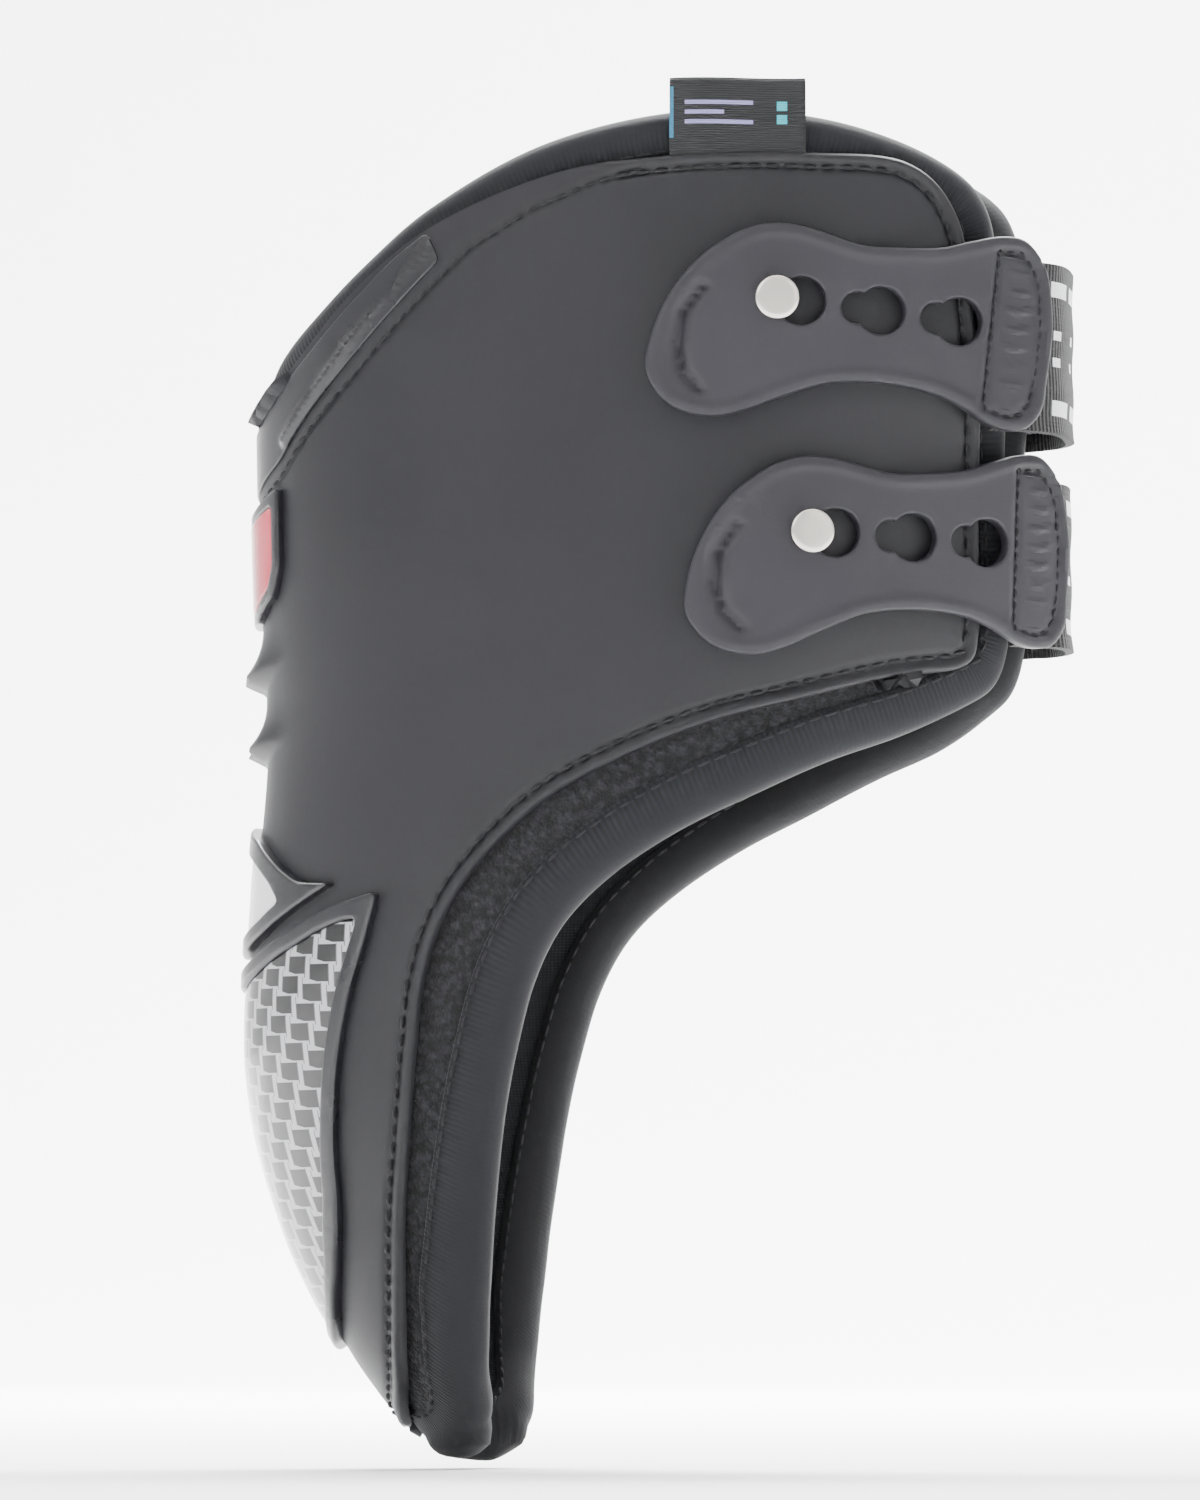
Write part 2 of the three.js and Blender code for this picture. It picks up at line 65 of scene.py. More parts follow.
# Lines from the spine to the open front: spine z, shell edge x and z, liner edge x and z
VEINS = [
    (1.8, -45.4, 2.7, -33.5, -1.2), (8, -44, 10, -28.6, 5), (13, -43.2, 20, -27, 15),
    (20, -42.6, 31, -25.8, 29), (28, -42, 42.3, -24.4, 42.3), (38, -40.6, 58, -22.8, 57),
    (49, -39, 75, -19.5, 75), (60, -37.2, 89, -15.5, 89), (70, -33, 101.5, -9.5, 100),
    (80, -25, 112.6, 0, 109), (90, -12, 124, 13, 117.5), (100, 4.3, 132.4, 26.5, 124),
    (110, 20.5, 138.7, 40.5, 130.5), (119, 37, 143, 53.5, 135.5), (127, 54, 147.5, 64.5, 141),
    (134, 67.5, 150, 70.5, 146), (141, 70.3, 158, 73.3, 157), (149, 70.5, 177, 73.3, 176),
    (155.5, 70.9, 197, 73.3, 197), (161.5, 70.3, 217, 73.2, 218), (166.5, 67.2, 237, 71, 239),
    (169.5, 58, 247.6, 62, 249), (172, 39.5, 249.3, 41, 256.5), (174.5, 15, 249, 15, 258),
    (176.5, -10, 245.6, -12, 252.5), (178.5, -34, 236.7, -35, 241.2), (180, -50, 226, -49, 230.5),
    (190, -63, 213.3, -60, 220.7), (199, -73, 202, -69.5, 209.5),
]
STUDS = {"upper": (33, 220.3), "lower": (39, 175.2)}
TAB_SLOPE = {"upper": 6.5, "lower": 2.2}
ELASTIC_Z = {"upper": (196, 229), "lower": (154.5, 186.5)}
ELASTIC_FRONT = [(84.2, -8), (84.6, 1), (83.4, 9.5), (80.2, 17)]
FAR_REACH = 3
SEWN_X = (70.2, 64, 55, 45)
PIVOT = {"upper": (72.7, 27.2), "lower": (72.9, 21.8)}
TAB_OUTLINE = [
    (-23.1, -14.6), (-21.1, -4), (-16, 5.4), (-8.7, 11.9), (-2.2, 14.4), (4.7, 14.2), (14.4, 12.2),
    (21.8, 12.6), (29.8, 13.7), (35.9, 15.8), (41.9, 17.7), (46.9, 17.7), (51, 14.2), (53.1, 9.6),
    (54.6, 1.1), (54.4, -8.2), (54, -14.5), (51.3, -18.5), (47.7, -19.5), (43.3, -18.9),
    (36.7, -16), (30.2, -14.3), (20.7, -13.9), (11.4, -15.2), (3.3, -18.7), (-3.3, -22.1),
    (-9.1, -24), (-15.5, -23.6), (-20.4, -20.5),
]
HOLE_SMALL, HOLE_BIG, HOLE_STEP, HOLE_PITCH = 3.05, 4.65, 4.6, 15.3
FIN_HEIGHTS, FIN_RISE = (149.2, 134.8), 4.6
FLOOR = -0.0055
# Raised trim on the spine, as (distance round from the spine, height)
STRIKE_EDGE = [(0, 18.5), (7, 20), (13.6, 24), (22, 33), (27.5, 41), (31, 49), (35, 63), (38, 75),
               (41.5, 86.5), (45, 96), (48, 107), (38.5, 104.6), (29, 101), (17.5, 96), (8, 93), (0, 92)]
STRIKE_OPENING = [(0, 21.5), (7, 23), (14, 28), (20.5, 36), (27, 48), (31.5, 62), (34.7, 75),
                  (38.3, 87), (43.8, 102), (39.5, 101.2), (34.5, 99.6), (28.5, 97), (22, 94.5),
                  (15, 91.5), (7.5, 89), (0, 88)]
INSERT_EDGE = [(0, 94.7), (9, 96.4), (17, 99.2), (26, 103.4), (37, 108.6), (28.4, 109), (23.3, 111.4),
               (18.8, 114), (12.3, 117.8), (0, 121)]
INSERT_OPENING = [(0, 98.2), (8.5, 99.7), (15.5, 102), (22.5, 105.4), (19, 109), (14.8, 111.6),
                  (9.6, 114), (0, 116.5)]
BADGE_EDGE = [(0, 160), (8.5, 161), (17.5, 165.6), (20.2, 171), (20.4, 187), (9, 183.2), (0, 181.5)]
BADGE_OPENING = [(0, 162.4), (7.8, 163.3), (15.8, 167.4), (18, 172), (18.1, 183.6), (8.4, 180.7), (0, 179.2)]
COLLAR_EDGE = [(0, 185.4), (10, 187.6), (19.5, 192), (29, 200.8), (38.6, 209.5), (47, 217.2), (55, 224.6),
               (60.5, 229.4), (57.5, 235), (50, 230), (41, 222.5), (30, 213.4), (20, 205.6), (10, 199.6),
               (0, 197.2)]
COLLAR_SWAGE = [(22, 196.4), (31, 204.6), (38.6, 212.6), (47, 221.2), (55, 229), (59.2, 233)]
COLLAR_SEAM = [(0, 182.2), (10, 184.6), (19.5, 189), (29, 197.8), (41, 208), (54, 220.5), (66.5, 231.3),
               (79.4, 238.6), (91, 243.2), (100, 245.6)]


# ---- form functions ----
def along(table, z):
    """Smooth value of a [height, value] table at heights z."""
    xs = np.array([p[0] for p in table], float)
    ys = np.array([p[1] for p in table], float)
    z = np.clip(np.asarray(z, float), xs[0], xs[-1])
    i = np.clip(np.searchsorted(xs, z, side="right") - 1, 0, len(xs) - 2)
    ahead = np.minimum(np.arange(len(xs)) + 1, len(xs) - 1)
    behind = np.maximum(np.arange(len(xs)) - 1, 0)
    slope = (ys[ahead] - ys[behind]) / (xs[ahead] - xs[behind])
    h = xs[i + 1] - xs[i]
    q = (z - xs[i]) / h
    keep = (1 + 2 * q) * (1 - q) ** 2 * ys[i] + q * q * (3 - 2 * q) * ys[i + 1]
    return keep + h * q * (1 - q) ** 2 * slope[i] + h * q * q * (q - 1) * slope[i + 1]


def plan(t, z):
    """Point of the shell's outer face at turn t from the spine, in mm."""
    widest, half = along(WIDEST, z), along(HALF_WIDTH, z)
    depth = widest - along(SPINE, z)
    run = np.maximum(depth * (np.abs(t) - math.pi / 2), 0)
    radius = along(FRONT_RADIUS, z)
    drop = radius - np.sqrt(np.maximum(radius ** 2 - run ** 2, 1))
    back = np.abs(t) <= math.pi / 2
    x = np.where(back, widest - depth * np.cos(t), widest + run)
    y = np.where(back, half * np.sin(t), np.sign(t) * (half - drop))
    return np.stack([x, y, np.broadcast_to(z, x.shape)], axis=-1)


TURNS = np.arange(0, 3.2, 0.01)
HEIGHTS = np.arange(-8, 272, 1.0)
_points = plan(TURNS[None, :] + 0 * HEIGHTS[:, None], HEIGHTS[:, None] + 0 * TURNS[None, :])
_steps = np.linalg.norm(np.diff(_points, axis=1), axis=2)
LENGTHS = np.concatenate([np.zeros((len(HEIGHTS), 1)), np.cumsum(_steps, axis=1)], axis=1)


def turn_at(s, z):
    """Turn from the spine that lies s mm round the shell at height z."""
    s, z = np.broadcast_arrays(np.asarray(s, float), np.asarray(z, float))
    place = np.clip(z, HEIGHTS[0], HEIGHTS[-1] - 0.001) - HEIGHTS[0]
    low = place.astype(int)
    found = np.zeros(s.shape)
    for row in np.unique(low):
        here = low == row
        f = place[here] - row
        a = np.interp(np.abs(s[here]), LENGTHS[row], TURNS)
        b = np.interp(np.abs(s[here]), LENGTHS[row + 1], TURNS)
        found[here] = a + f * (b - a)
    return np.sign(s) * found


def skin(s, z, out):
    """Point out mm proud of the shell's outer face, in metres."""
    s, z = np.broadcast_arrays(np.asarray(s, float), np.asarray(z, float))
    t = turn_at(s, z)
    across = plan(t + 0.004, z) - plan(t - 0.004, z)
    up = plan(t, z + 0.4) - plan(t, z - 0.4)
    normal = -np.cross(across, up)
    normal /= np.linalg.norm(normal, axis=-1, keepdims=True)
    return (plan(t, z) + normal * np.asarray(out, float)[..., None]) / 1000


def distance_to(x, z):
    """Distance round the shell from the spine to x at height z."""
    widest = along(WIDEST, z)
    depth = widest - along(SPINE, z)
    ratio = np.clip((widest - x) / depth, -1, 1)
    t = np.where(x <= widest, np.arccos(ratio), math.pi / 2 + (x - widest) / depth)
    row = np.clip(np.round(np.asarray(z, float) - HEIGHTS[0]).astype(int), 0, len(HEIGHTS) - 1)
    return np.array([np.interp(a, TURNS, LENGTHS[b]) for a, b in zip(np.atleast_1d(t), np.atleast_1d(row))])


def flowing(values, r):
    """Catmull-Rom values of a row table at fractional rows r."""
    values = np.asarray(values, float)
    i = np.clip(r.astype(int), 0, len(values) - 2)
    q = (r - i)[:, None]
    p0, p1 = values[np.maximum(i - 1, 0)], values[i]
    p2, p3 = values[i + 1], values[np.minimum(i + 2, len(values) - 1)]
    return 0.5 * (2 * p1 + (p2 - p0) * q + (2 * p0 - 5 * p1 + 4 * p2 - p3) * q ** 2
                  + (3 * p1 - p0 - 3 * p2 + p3) * q ** 3)


def vein_rows(side):
    """Each vein as spine s and z, shell edge s and z, liner edge s and z; the far wall reaches further."""
    v = np.array(VEINS)
    shell, liner = distance_to(v[:, 1], v[:, 2]), distance_to(v[:, 3], v[:, 4])
    # the liner's edge lies 7 mm inside the shell's face
    lean = skin(liner, v[:, 4], 0)[:, 0] - skin(liner, v[:, 4], -7)[:, 0]
    liner = distance_to(v[:, 3] + lean * 1000, v[:, 4])
    overhang = np.hypot(liner - shell, v[:, 4] - v[:, 2])
    extra = FAR_REACH * np.clip((75 - v[:, 3]) / 20, 0, 1) * np.clip((250 - v[:, 4]) / 15, 0.4, 1)
    reach = 1 + extra / overhang if side > 0 else 1
    liner, height = shell + reach * (liner - shell), v[:, 2] + reach * (v[:, 4] - v[:, 2])
    return np.stack([0 * shell, v[:, 0], shell, v[:, 2], liner, height], axis=1)


ROWS = vein_rows(-1)
FAR_ROWS = vein_rows(1)
LAST = len(VEINS) - 1


def closed_edge(which, count=420):
    """The shell's or liner's whole edge as a loop, from the spine's foot up the far side."""
    column = 2 if which == "shell" else 4
    foot, head = (2.2, 199.3) if which == "shell" else (-0.6, 203.0)
    halves = []
    for table in (FAR_ROWS, ROWS):
        side = flowing(table, np.linspace(0, LAST, count))[:, column:column + 2]
        start = np.linspace([0, foot], side[0], 12, endpoint=False)
        end = np.linspace(side[-1], [0, head], 22)[1:]
        halves.append(np.concatenate([start, side, end]))
    return spaced(np.concatenate([halves[0], (halves[1] * [-1, 1])[::-1][1:-1]]), 1.0, True)


def spaced(points, step, closed=False):
    """The same line with evenly spaced points."""
    points = np.asarray(points, float)
    if closed:
        points = np.concatenate([points, points[:1]])
    lengths = np.concatenate([[0], np.cumsum(np.linalg.norm(np.diff(points, axis=0), axis=1))])
    count = max(2, int(round(lengths[-1] / step)))
    at = np.linspace(0, lengths[-1], count + 1)
    if closed:
        at = at[:-1]
    return np.stack([np.interp(at, lengths, points[:, k]) for k in range(points.shape[1])], axis=1)


def softened(loop, passes):
    """The loop with its corners eased."""
    for _ in range(passes):
        loop = 0.25 * np.roll(loop, 1, 0) + 0.5 * loop + 0.25 * np.roll(loop, -1, 0)
    return loop


def inward(loop):
    """Unit directions to the left of a closed loop."""
    t = np.roll(loop, -2, 0) - np.roll(loop, 2, 0)
    t /= np.linalg.norm(t, axis=1, keepdims=True)
    return np.stack([-t[:, 1], t[:, 0]], axis=1)


def gap_to(points, line, closed=True):
    """Distance of each point to a polyline."""
    line = np.asarray(line, float)
    ends = np.roll(line, -1, 0) if closed else line[1:]
    starts = line if closed else line[:-1]
    run = ends - starts
    square = np.maximum((run ** 2).sum(1), 1e-9)
    best = np.full(len(points), 1e9)
    for a, d, q in zip(starts, run, square):
        f = np.clip(((points - a) @ d) / q, 0, 1)
        gap = np.hypot(*(points - a - f[:, None] * d).T)
        best = np.minimum(best, gap)
    return best


def stud_frame(which):
    """The tab's curved plane: angle at the stud, its height, and the axis it is bent about."""
    x, z = STUDS[which]
    radius, widest = float(along(FRONT_RADIUS, z)), float(along(WIDEST, z))
    return math.asin((x - widest) / radius), z, widest, radius - float(along(HALF_WIDTH, z)), radius


def on_tab(which, u, v, h):
    """Point of the tab's curved plane: u towards the elastic, v up, h outward, in metres."""
    angle0, z0, x0, y0, radius = stud_frame(which)
    slope = math.radians(TAB_SLOPE[which])
    angle = angle0 + (u * math.cos(slope) + v * math.sin(slope)) / radius
    r = radius + h
    return np.stack([x0 + r * np.sin(angle), y0 - r * np.cos(angle),
                     z0 - u * math.sin(slope) + v * math.cos(slope)], axis=-1) / 1000


def corner_point(which, x):
    """Where the elastic lies on the far wall, or just ahead of its edge, in mm."""
    z = 222 if which == "upper" else 172
    run = max(0, x - 73)
    p = skin(distance_to(np.array([min(x, 73)]), np.array([z])), np.array([z]), np.array([1.7]))[0] * 1000
    return np.array([p[0] + run, p[1] - run])


def elastic_line(which):
    """The elastic in plan, from under the tab's end round to the far corner, in mm."""
    near = [on_tab(which, u, 0, -0.4)[:2] * 1000 for u in (43, 46.5, 50)]
    lean = 3.5 if which == "upper" else 0
    front = [np.array([x, y + (-lean if y < 0 else lean)]) for x, y in ELASTIC_FRONT]
    return np.array([*near, *front, corner_point(which, 75.4), corner_point(which, 72.6)])


# ---- small modelling helpers ----
def deselect():
    bpy.ops.object.select_all(action="DESELECT")


def linear(hex_colour):
    """sRGB hex to linear RGBA."""
    parts = [int(hex_colour[i:i + 2], 16) / 255 for i in (1, 3, 5)]
    return (*[c / 12.92 if c <= 0.04045 else ((c + 0.055) / 1.055) ** 2.4 for c in parts], 1.0)


def settle(obj, name, body, material, angle=40, smooth=True):
    """Names a piece, gives it its material and lets it ride on its body."""
    obj.name = name
    obj.data.name = name
    obj.data.materials.clear()
    obj.data.materials.append(material)
    deselect()
    obj.select_set(True)
    bpy.context.view_layer.objects.active = obj
    if smooth:
        bpy.ops.object.shade_smooth_by_angle(angle=math.radians(angle))
    if body:
        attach(obj, body)
    return obj


def apply_modifier(obj, kind, **settings):
    modifier = obj.modifiers.new(kind.lower(), kind)
    for key, value in settings.items():
        setattr(modifier, key, value)
    bpy.context.view_layer.objects.active = obj
    bpy.ops.object.modifier_apply(modifier=modifier.name)


def set_flat_map(obj, flat):
    """A UV map in millimetres of the flat piece."""
    layer = obj.data.uv_layers.get("flat") or obj.data.uv_layers.new(name="flat")
    corners = np.empty(len(obj.data.loops), dtype=np.int64)
    obj.data.loops.foreach_get("vertex_index", corners)
    layer.data.foreach_set("uv", flat[corners].astype(np.float32).ravel())
    obj.data.uv_layers.active = layer


def grid_piece(columns, rows, place):
    """A grid primitive whose points are placed by place(x, y), each from -1 to 1."""
    deselect()
    bpy.ops.mesh.primitive_grid_add(x_subdivisions=columns, y_subdivisions=rows, size=2, calc_uvs=False)
    obj = bpy.context.object
    co = np.empty(len(obj.data.vertices) * 3)
    obj.data.vertices.foreach_get("co", co)
    co = co.reshape(-1, 3)
    where, flat = place(co[:, 0], co[:, 1])
    obj.data.vertices.foreach_set("co", where.astype(np.float32).ravel())
    set_flat_map(obj, flat)
    obj.data.update()
    return obj


def weld(obj, distance=1e-6):
    deselect()
    obj.select_set(True)
    bpy.context.view_layer.objects.active = obj
    bpy.ops.object.mode_set(mode="EDIT")
    bpy.ops.mesh.select_all(action="SELECT")
    bpy.ops.mesh.remove_doubles(threshold=distance)
    bpy.ops.mesh.normals_make_consistent(inside=False)
    bpy.ops.object.mode_set(mode="OBJECT")


def relief(outlines, thickness, bevel, step, shape):
    """A flat shape with holes, cut into small squares and laid in place by shape(u, v, q).
    outlines are closed lists in mm, q runs from 0 at the back to 1 at the face."""
    data = bpy.data.curves.new("outline", "CURVE")
    data.dimensions = "2D"
    data.fill_mode = "BOTH"
    for line in outlines:
        spline = data.splines.new("POLY")
        spline.points.add(len(line) - 1)
        for point, (u, v) in zip(spline.points, line):
            point.co = (u, v, 0, 1)
        spline.use_cyclic_u = True
    data.extrude = thickness / 2 - bevel
    data.bevel_depth = bevel
    data.bevel_resolution = 2
    data.offset = -bevel
    obj = bpy.data.objects.new("outline", data)
    bpy.context.collection.objects.link(obj)
    deselect()
    obj.select_set(True)
    bpy.context.view_layer.objects.active = obj
    bpy.ops.object.convert(target="MESH")
    obj = bpy.context.object
    weld(obj, 1e-4)
    corners = np.array([v.co[:] for v in obj.data.vertices])
    bpy.ops.object.mode_set(mode="EDIT")
    for axis in (0, 1):
        low, high = corners[:, axis].min(), corners[:, axis].max()
        for cut in np.arange(math.ceil(low / step) * step, high, step):
            bpy.ops.mesh.select_all(action="SELECT")
            place, normal = [0, 0, 0], [0, 0, 0]
            place[axis], normal[axis] = float(cut) + 0.0137, 1
            bpy.ops.mesh.bisect(plane_co=place, plane_no=normal)
    bpy.ops.object.mode_set(mode="OBJECT")
    co = np.empty(len(obj.data.vertices) * 3)
    obj.data.vertices.foreach_get("co", co)
    co = co.reshape(-1, 3)
    set_flat_map(obj, co[:, :2])
    where = shape(co[:, 0], co[:, 1], co[:, 2] / thickness + 0.5)
    obj.data.vertices.foreach_set("co", where.astype(np.float32).ravel())
    obj.data.update()
    return obj


def both_sides(half, step=1.2, ease=3):
    """A closed outline from the half on one side of the spine."""
    half = np.asarray(half, float)
    loop = np.concatenate([half, (half * [-1, 1])[::-1][1:-1]])
    return softened(spaced(loop, step, True), ease)


def stitch_row(name, path, lay, material, body, length=2.5, width=0.75, pitch=3.6, closed=False):
    """A row of separate stitches along a path; lay(points, height) gives each place in metres."""
    beads = spaced(path, pitch, closed)
    ahead = np.roll(beads, -1, 0) if closed else np.concatenate([beads[1:], [2 * beads[-1] - beads[-2]]])
    run = ahead - beads
    run /= np.linalg.norm(run, axis=1, keepdims=True)
    side = np.stack([-run[:, 1], run[:, 0]], axis=1)
    deselect()
    bpy.ops.mesh.primitive_cylinder_add(vertices=6, radius=1, depth=2, end_fill_type="NGON")
    seed = bpy.context.object
    bpy.ops.object.mode_set(mode="EDIT")
    bpy.ops.mesh.select_all(action="SELECT")
    for height in (-0.6, 0.0, 0.6):
        bpy.ops.mesh.select_all(action="SELECT")
        bpy.ops.mesh.bisect(plane_co=(0, 0, height), plane_no=(0, 0, 1))
    bpy.ops.object.mode_set(mode="OBJECT")
    base = np.array([v.co[:] for v in seed.data.vertices])
    faces = [list(p.vertices) for p in seed.data.polygons]
    bpy.data.objects.remove(seed)
    round_off = np.sqrt(np.clip(1.02 - base[:, 2] ** 2 * 0.8, 0.15, 1))
    verts, all_faces = [], []
    for k in range(len(beads)):
        flat = beads[k] + np.outer(base[:, 2] * length / 2, run[k])
        flat = flat + np.outer(base[:, 0] * round_off * width / 2, side[k])
        height = base[:, 1] * round_off * width / 2 + (1 - base[:, 2] ** 2) * 0.25
        verts.append(lay(flat, height))
        all_faces.extend([[i + k * len(base) for i in f] for f in faces])
    mesh = bpy.data.meshes.new(name)
    mesh.from_pydata(np.concatenate(verts).tolist(), [], all_faces)
    obj = bpy.data.objects.new(name, mesh)
    bpy.context.collection.objects.link(obj)
    weld(obj, 1e-7)
    return settle(obj, name, body, material, 60)


# ---- materials ----
def add(tree, kind, inputs=None, **settings):
    """Adds a node with its settings; an input is a value or a socket to link from."""
    node = tree.nodes.new(kind)
    for key, value in settings.items():
        setattr(node, key, value)
    for key, value in (inputs or {}).items():
        socket = node.inputs[key]
        if isinstance(value, bpy.types.NodeSocket):
            tree.links.new(value, socket)
        else:
            socket.default_value = value
    return node


def maths(tree, operation, *values):
    """A maths node's result from numbers or sockets."""
    return add(tree, "ShaderNodeMath", dict(enumerate(values)), operation=operation).outputs[0]


def wave(tree, value, pitch):
    """A sine that repeats every pitch mm along value."""
    return maths(tree, "SINE", maths(tree, "MULTIPLY", value, 2 * math.pi / pitch))


def ramp(tree, value, low, high, at_low=0.0, at_high=1.0):
    """A value stretched from low..high to at_low..at_high."""
    return add(tree, "ShaderNodeMapRange", {"Value": value, "From Min": low, "From Max": high,
                                            "To Min": at_low, "To Max": at_high}).outputs["Result"]


def mixed(tree, share, low, high):
    """Two colours mixed by share; each is an sRGB hex value or a socket."""
    low, high = (linear(c) if isinstance(c, str) else c for c in (low, high))
    return add(tree, "ShaderNodeMix", {"Factor": share, 6: low, 7: high}, data_type="RGBA").outputs[2]


def speckle(tree, scale, detail, **inputs):
    """Fine noise over the piece's own coordinates."""
    where = add(tree, "ShaderNodeTexCoord").outputs["Object"]
    return add(tree, "ShaderNodeTexNoise", {"Vector": where, "Scale": scale, "Detail": detail,
                                            **inputs}).outputs["Fac"]


def flat_axes(tree):
    """Distances in mm along and across the flat piece."""
    flat = add(tree, "ShaderNodeUVMap", uv_map="flat").outputs["UV"]
    parts = add(tree, "ShaderNodeSeparateXYZ", {"Vector": flat})
    return parts.outputs["X"], parts.outputs["Y"]


def dress(tree, shader, tone=None, height=None, strength=0.0, depth=0.0002):
    """Links a colour and a bump, depth metres deep, into the shader."""
    if tone:
        tree.links.new(tone, shader.inputs["Base Color"])
    if height:
        bump = add(tree, "ShaderNodeBump", {"Height": height, "Strength": strength, "Distance": depth})
        tree.links.new(bump.outputs["Normal"], shader.inputs["Normal"])


def new_material(name, colour, roughness, metallic=0.0, **sockets):
    """A Principled material with its plain values on the shader's own sockets."""
    material = bpy.data.materials.new(name)
    material.use_nodes = True
    shader = material.node_tree.nodes["Principled BSDF"]
    shader.inputs["Base Color"].default_value = linear(colour)
    shader.inputs["Roughness"].default_value = roughness
    shader.inputs["Metallic"].default_value = metallic
    for key, value in sockets.items():
        shader.inputs[key.replace("_", " ")].default_value = value
    return material, material.node_tree, shader


def grained(name, colour, roughness, grain, bump, blotch=0.12, **sockets):
    """Moulded polymer or plated metal: fine grain, slight cloudiness in tone and polish."""
    material, tree, shader = new_material(name, colour, roughness, **sockets)
    fine = speckle(tree, 1000 / grain, 2.0, Roughness=0.6)
    cloud = speckle(tree, 26.0, 4.0)
    tone = ramp(tree, cloud, 0.3, 0.7, 1 - blotch, 1 + blotch)
    base = add(tree, "ShaderNodeVectorMath", {0: linear(colour)[:3], "Scale": tone}, operation="SCALE")
    polish = ramp(tree, cloud, 0.3, 0.7, roughness - 0.06, roughness + 0.06)
    tree.links.new(polish, shader.inputs["Roughness"])
    dress(tree, shader, base.outputs["Vector"], fine, bump)
    return material


def cloth(name, colour, light, pitch_u, pitch_v, strength, noise=0.25, sheen=0.3):
    """Woven or knitted cloth on the flat map: threads pitch_u by pitch_v mm, with a soft nap."""
    material, tree, shader = new_material(name, colour, 0.9, Sheen_Weight=sheen, Sheen_Roughness=0.5)
    u, v = flat_axes(tree)
    threads = maths(tree, "ADD", wave(tree, u, pitch_u), wave(tree, v, pitch_v))
    height = maths(tree, "MULTIPLY_ADD", speckle(tree, 900.0, 3.0), noise * 4, threads)
    dress(tree, shader, mixed(tree, ramp(tree, height, -1.5, 2.2), colour, light), height, strength)
    return material


def pile_material(colour, light):
    """Brushed loop pile: tangled loops about 1.5 mm across that catch a little light on their crowns."""
    material, tree, shader = new_material("brushed_nylon_loop", colour, 0.95, Sheen_Weight=0.05)
    where = add(tree, "ShaderNodeTexCoord").outputs["Object"]
    loops = add(tree, "ShaderNodeTexVoronoi", {"Vector": where, "Scale": 620.0}, feature="SMOOTH_F1")
    height = maths(tree, "MULTIPLY_ADD", loops.outputs["Distance"], -1.0, speckle(tree, 1500.0, 3.0))
    dress(tree, shader, mixed(tree, ramp(tree, height, -0.1, 0.5), colour, light), height, 1.0, 0.0007)
    return material


MATERIALS = {}
BRICK_ROW, BRICK_PERIOD, BRICK_SHIFT, BRICK_SLOPE = 4.3, 5.8, 1.84, 0.272


def weave_pad_material(dark, light):
    """Printed twill under a clear lens: dark bricks 4.3 by 3.4 mm in rows 4.3 mm apart, each row shifted,
    with bright bars between them; a painted reflection greys the print towards the spine and the foot."""
    material, tree, shader = new_material("printed_twill_under_clear_lens", light, 0.3, Coat_Weight=0.7,
                                          Coat_Roughness=0.15)
    u, v = flat_axes(tree)
    across = maths(tree, "ABSOLUTE", u)
    level = maths(tree, "MULTIPLY_ADD", across, -BRICK_SLOPE, maths(tree, "MULTIPLY", v, -1.0))
    row = maths(tree, "FLOOR", maths(tree, "DIVIDE", level, BRICK_ROW))
    low = maths(tree, "FLOORED_MODULO", level, BRICK_ROW)
    step = maths(tree, "FLOORED_MODULO", maths(tree, "MULTIPLY_ADD", row, BRICK_SHIFT, across), BRICK_PERIOD)
    high = maths(tree, "MULTIPLY_ADD", maths(tree, "SUBTRACT", step, 2.0), BRICK_SLOPE, low)
    brick = maths(tree, "MULTIPLY", maths(tree, "COMPARE", step, 2.15, 2.15),
                  maths(tree, "COMPARE", high, 2.5, 1.72))
    seam = maths(tree, "MAXIMUM", maths(tree, "COMPARE", step, 4.42, 0.12),
                 maths(tree, "COMPARE", step, 5.7, 0.11))
    # painted reflection: bars and bricks fade to flat grey towards the spine and the foot
    wash = maths(tree, "MAXIMUM", ramp(tree, across, 3.0, 15.0, 0.7, 0.0),
                 ramp(tree, v, 20.0, 58.0, 0.35, 0.0))
    pale = mixed(tree, wash, light, "#5C5E60")
    shade = mixed(tree, wash, dark, "#545658")
    lined = mixed(tree, maths(tree, "MULTIPLY", seam, 0.85), pale, shade)
    dress(tree, shader, mixed(tree, brick, lined, shade), brick, 0.15, -0.0001)
    return material


def silver_material(colour):
    """Vacuum-metallised window: bright satin foil, dark within 8 mm of the spine."""
    material, tree, shader = new_material("vacuum_metallised_foil", colour, 0.25, Coat_Weight=0.4)
    across = maths(tree, "ABSOLUTE", flat_axes(tree)[0])
    dress(tree, shader, mixed(tree, maths(tree, "LESS_THAN", across, 8.0), colour, "#26272B"))
    return material


def elastic_material(black, white):
    """Woven elastic: rib cords 1.1 mm apart across the band, with white blocks woven in."""
    material, tree, shader = new_material("woven_elastic", black, 0.85, Sheen_Weight=0.04)
    u, v = flat_axes(tree)
    height = maths(tree, "MULTIPLY_ADD", wave(tree, v, 0.8), 0.35, wave(tree, u, 1.1))
    along_u = maths(tree, "FLOORED_MODULO", u, 13.0)
    across = maths(tree, "ABSOLUTE", v)
    inner = maths(tree, "MULTIPLY", maths(tree, "COMPARE", across, 2.6, 0.9),
                  maths(tree, "COMPARE", along_u, 4.2, 1.6))
    outer = maths(tree, "MULTIPLY", maths(tree, "COMPARE", across, 11.6, 1.5),
                  maths(tree, "COMPARE", along_u, 6.5, 4.4))
    tone = mixed(tree, maths(tree, "MAXIMUM", inner, outer), black, white)
    dress(tree, shader, tone, height, 0.6, 0.0003)
    return material


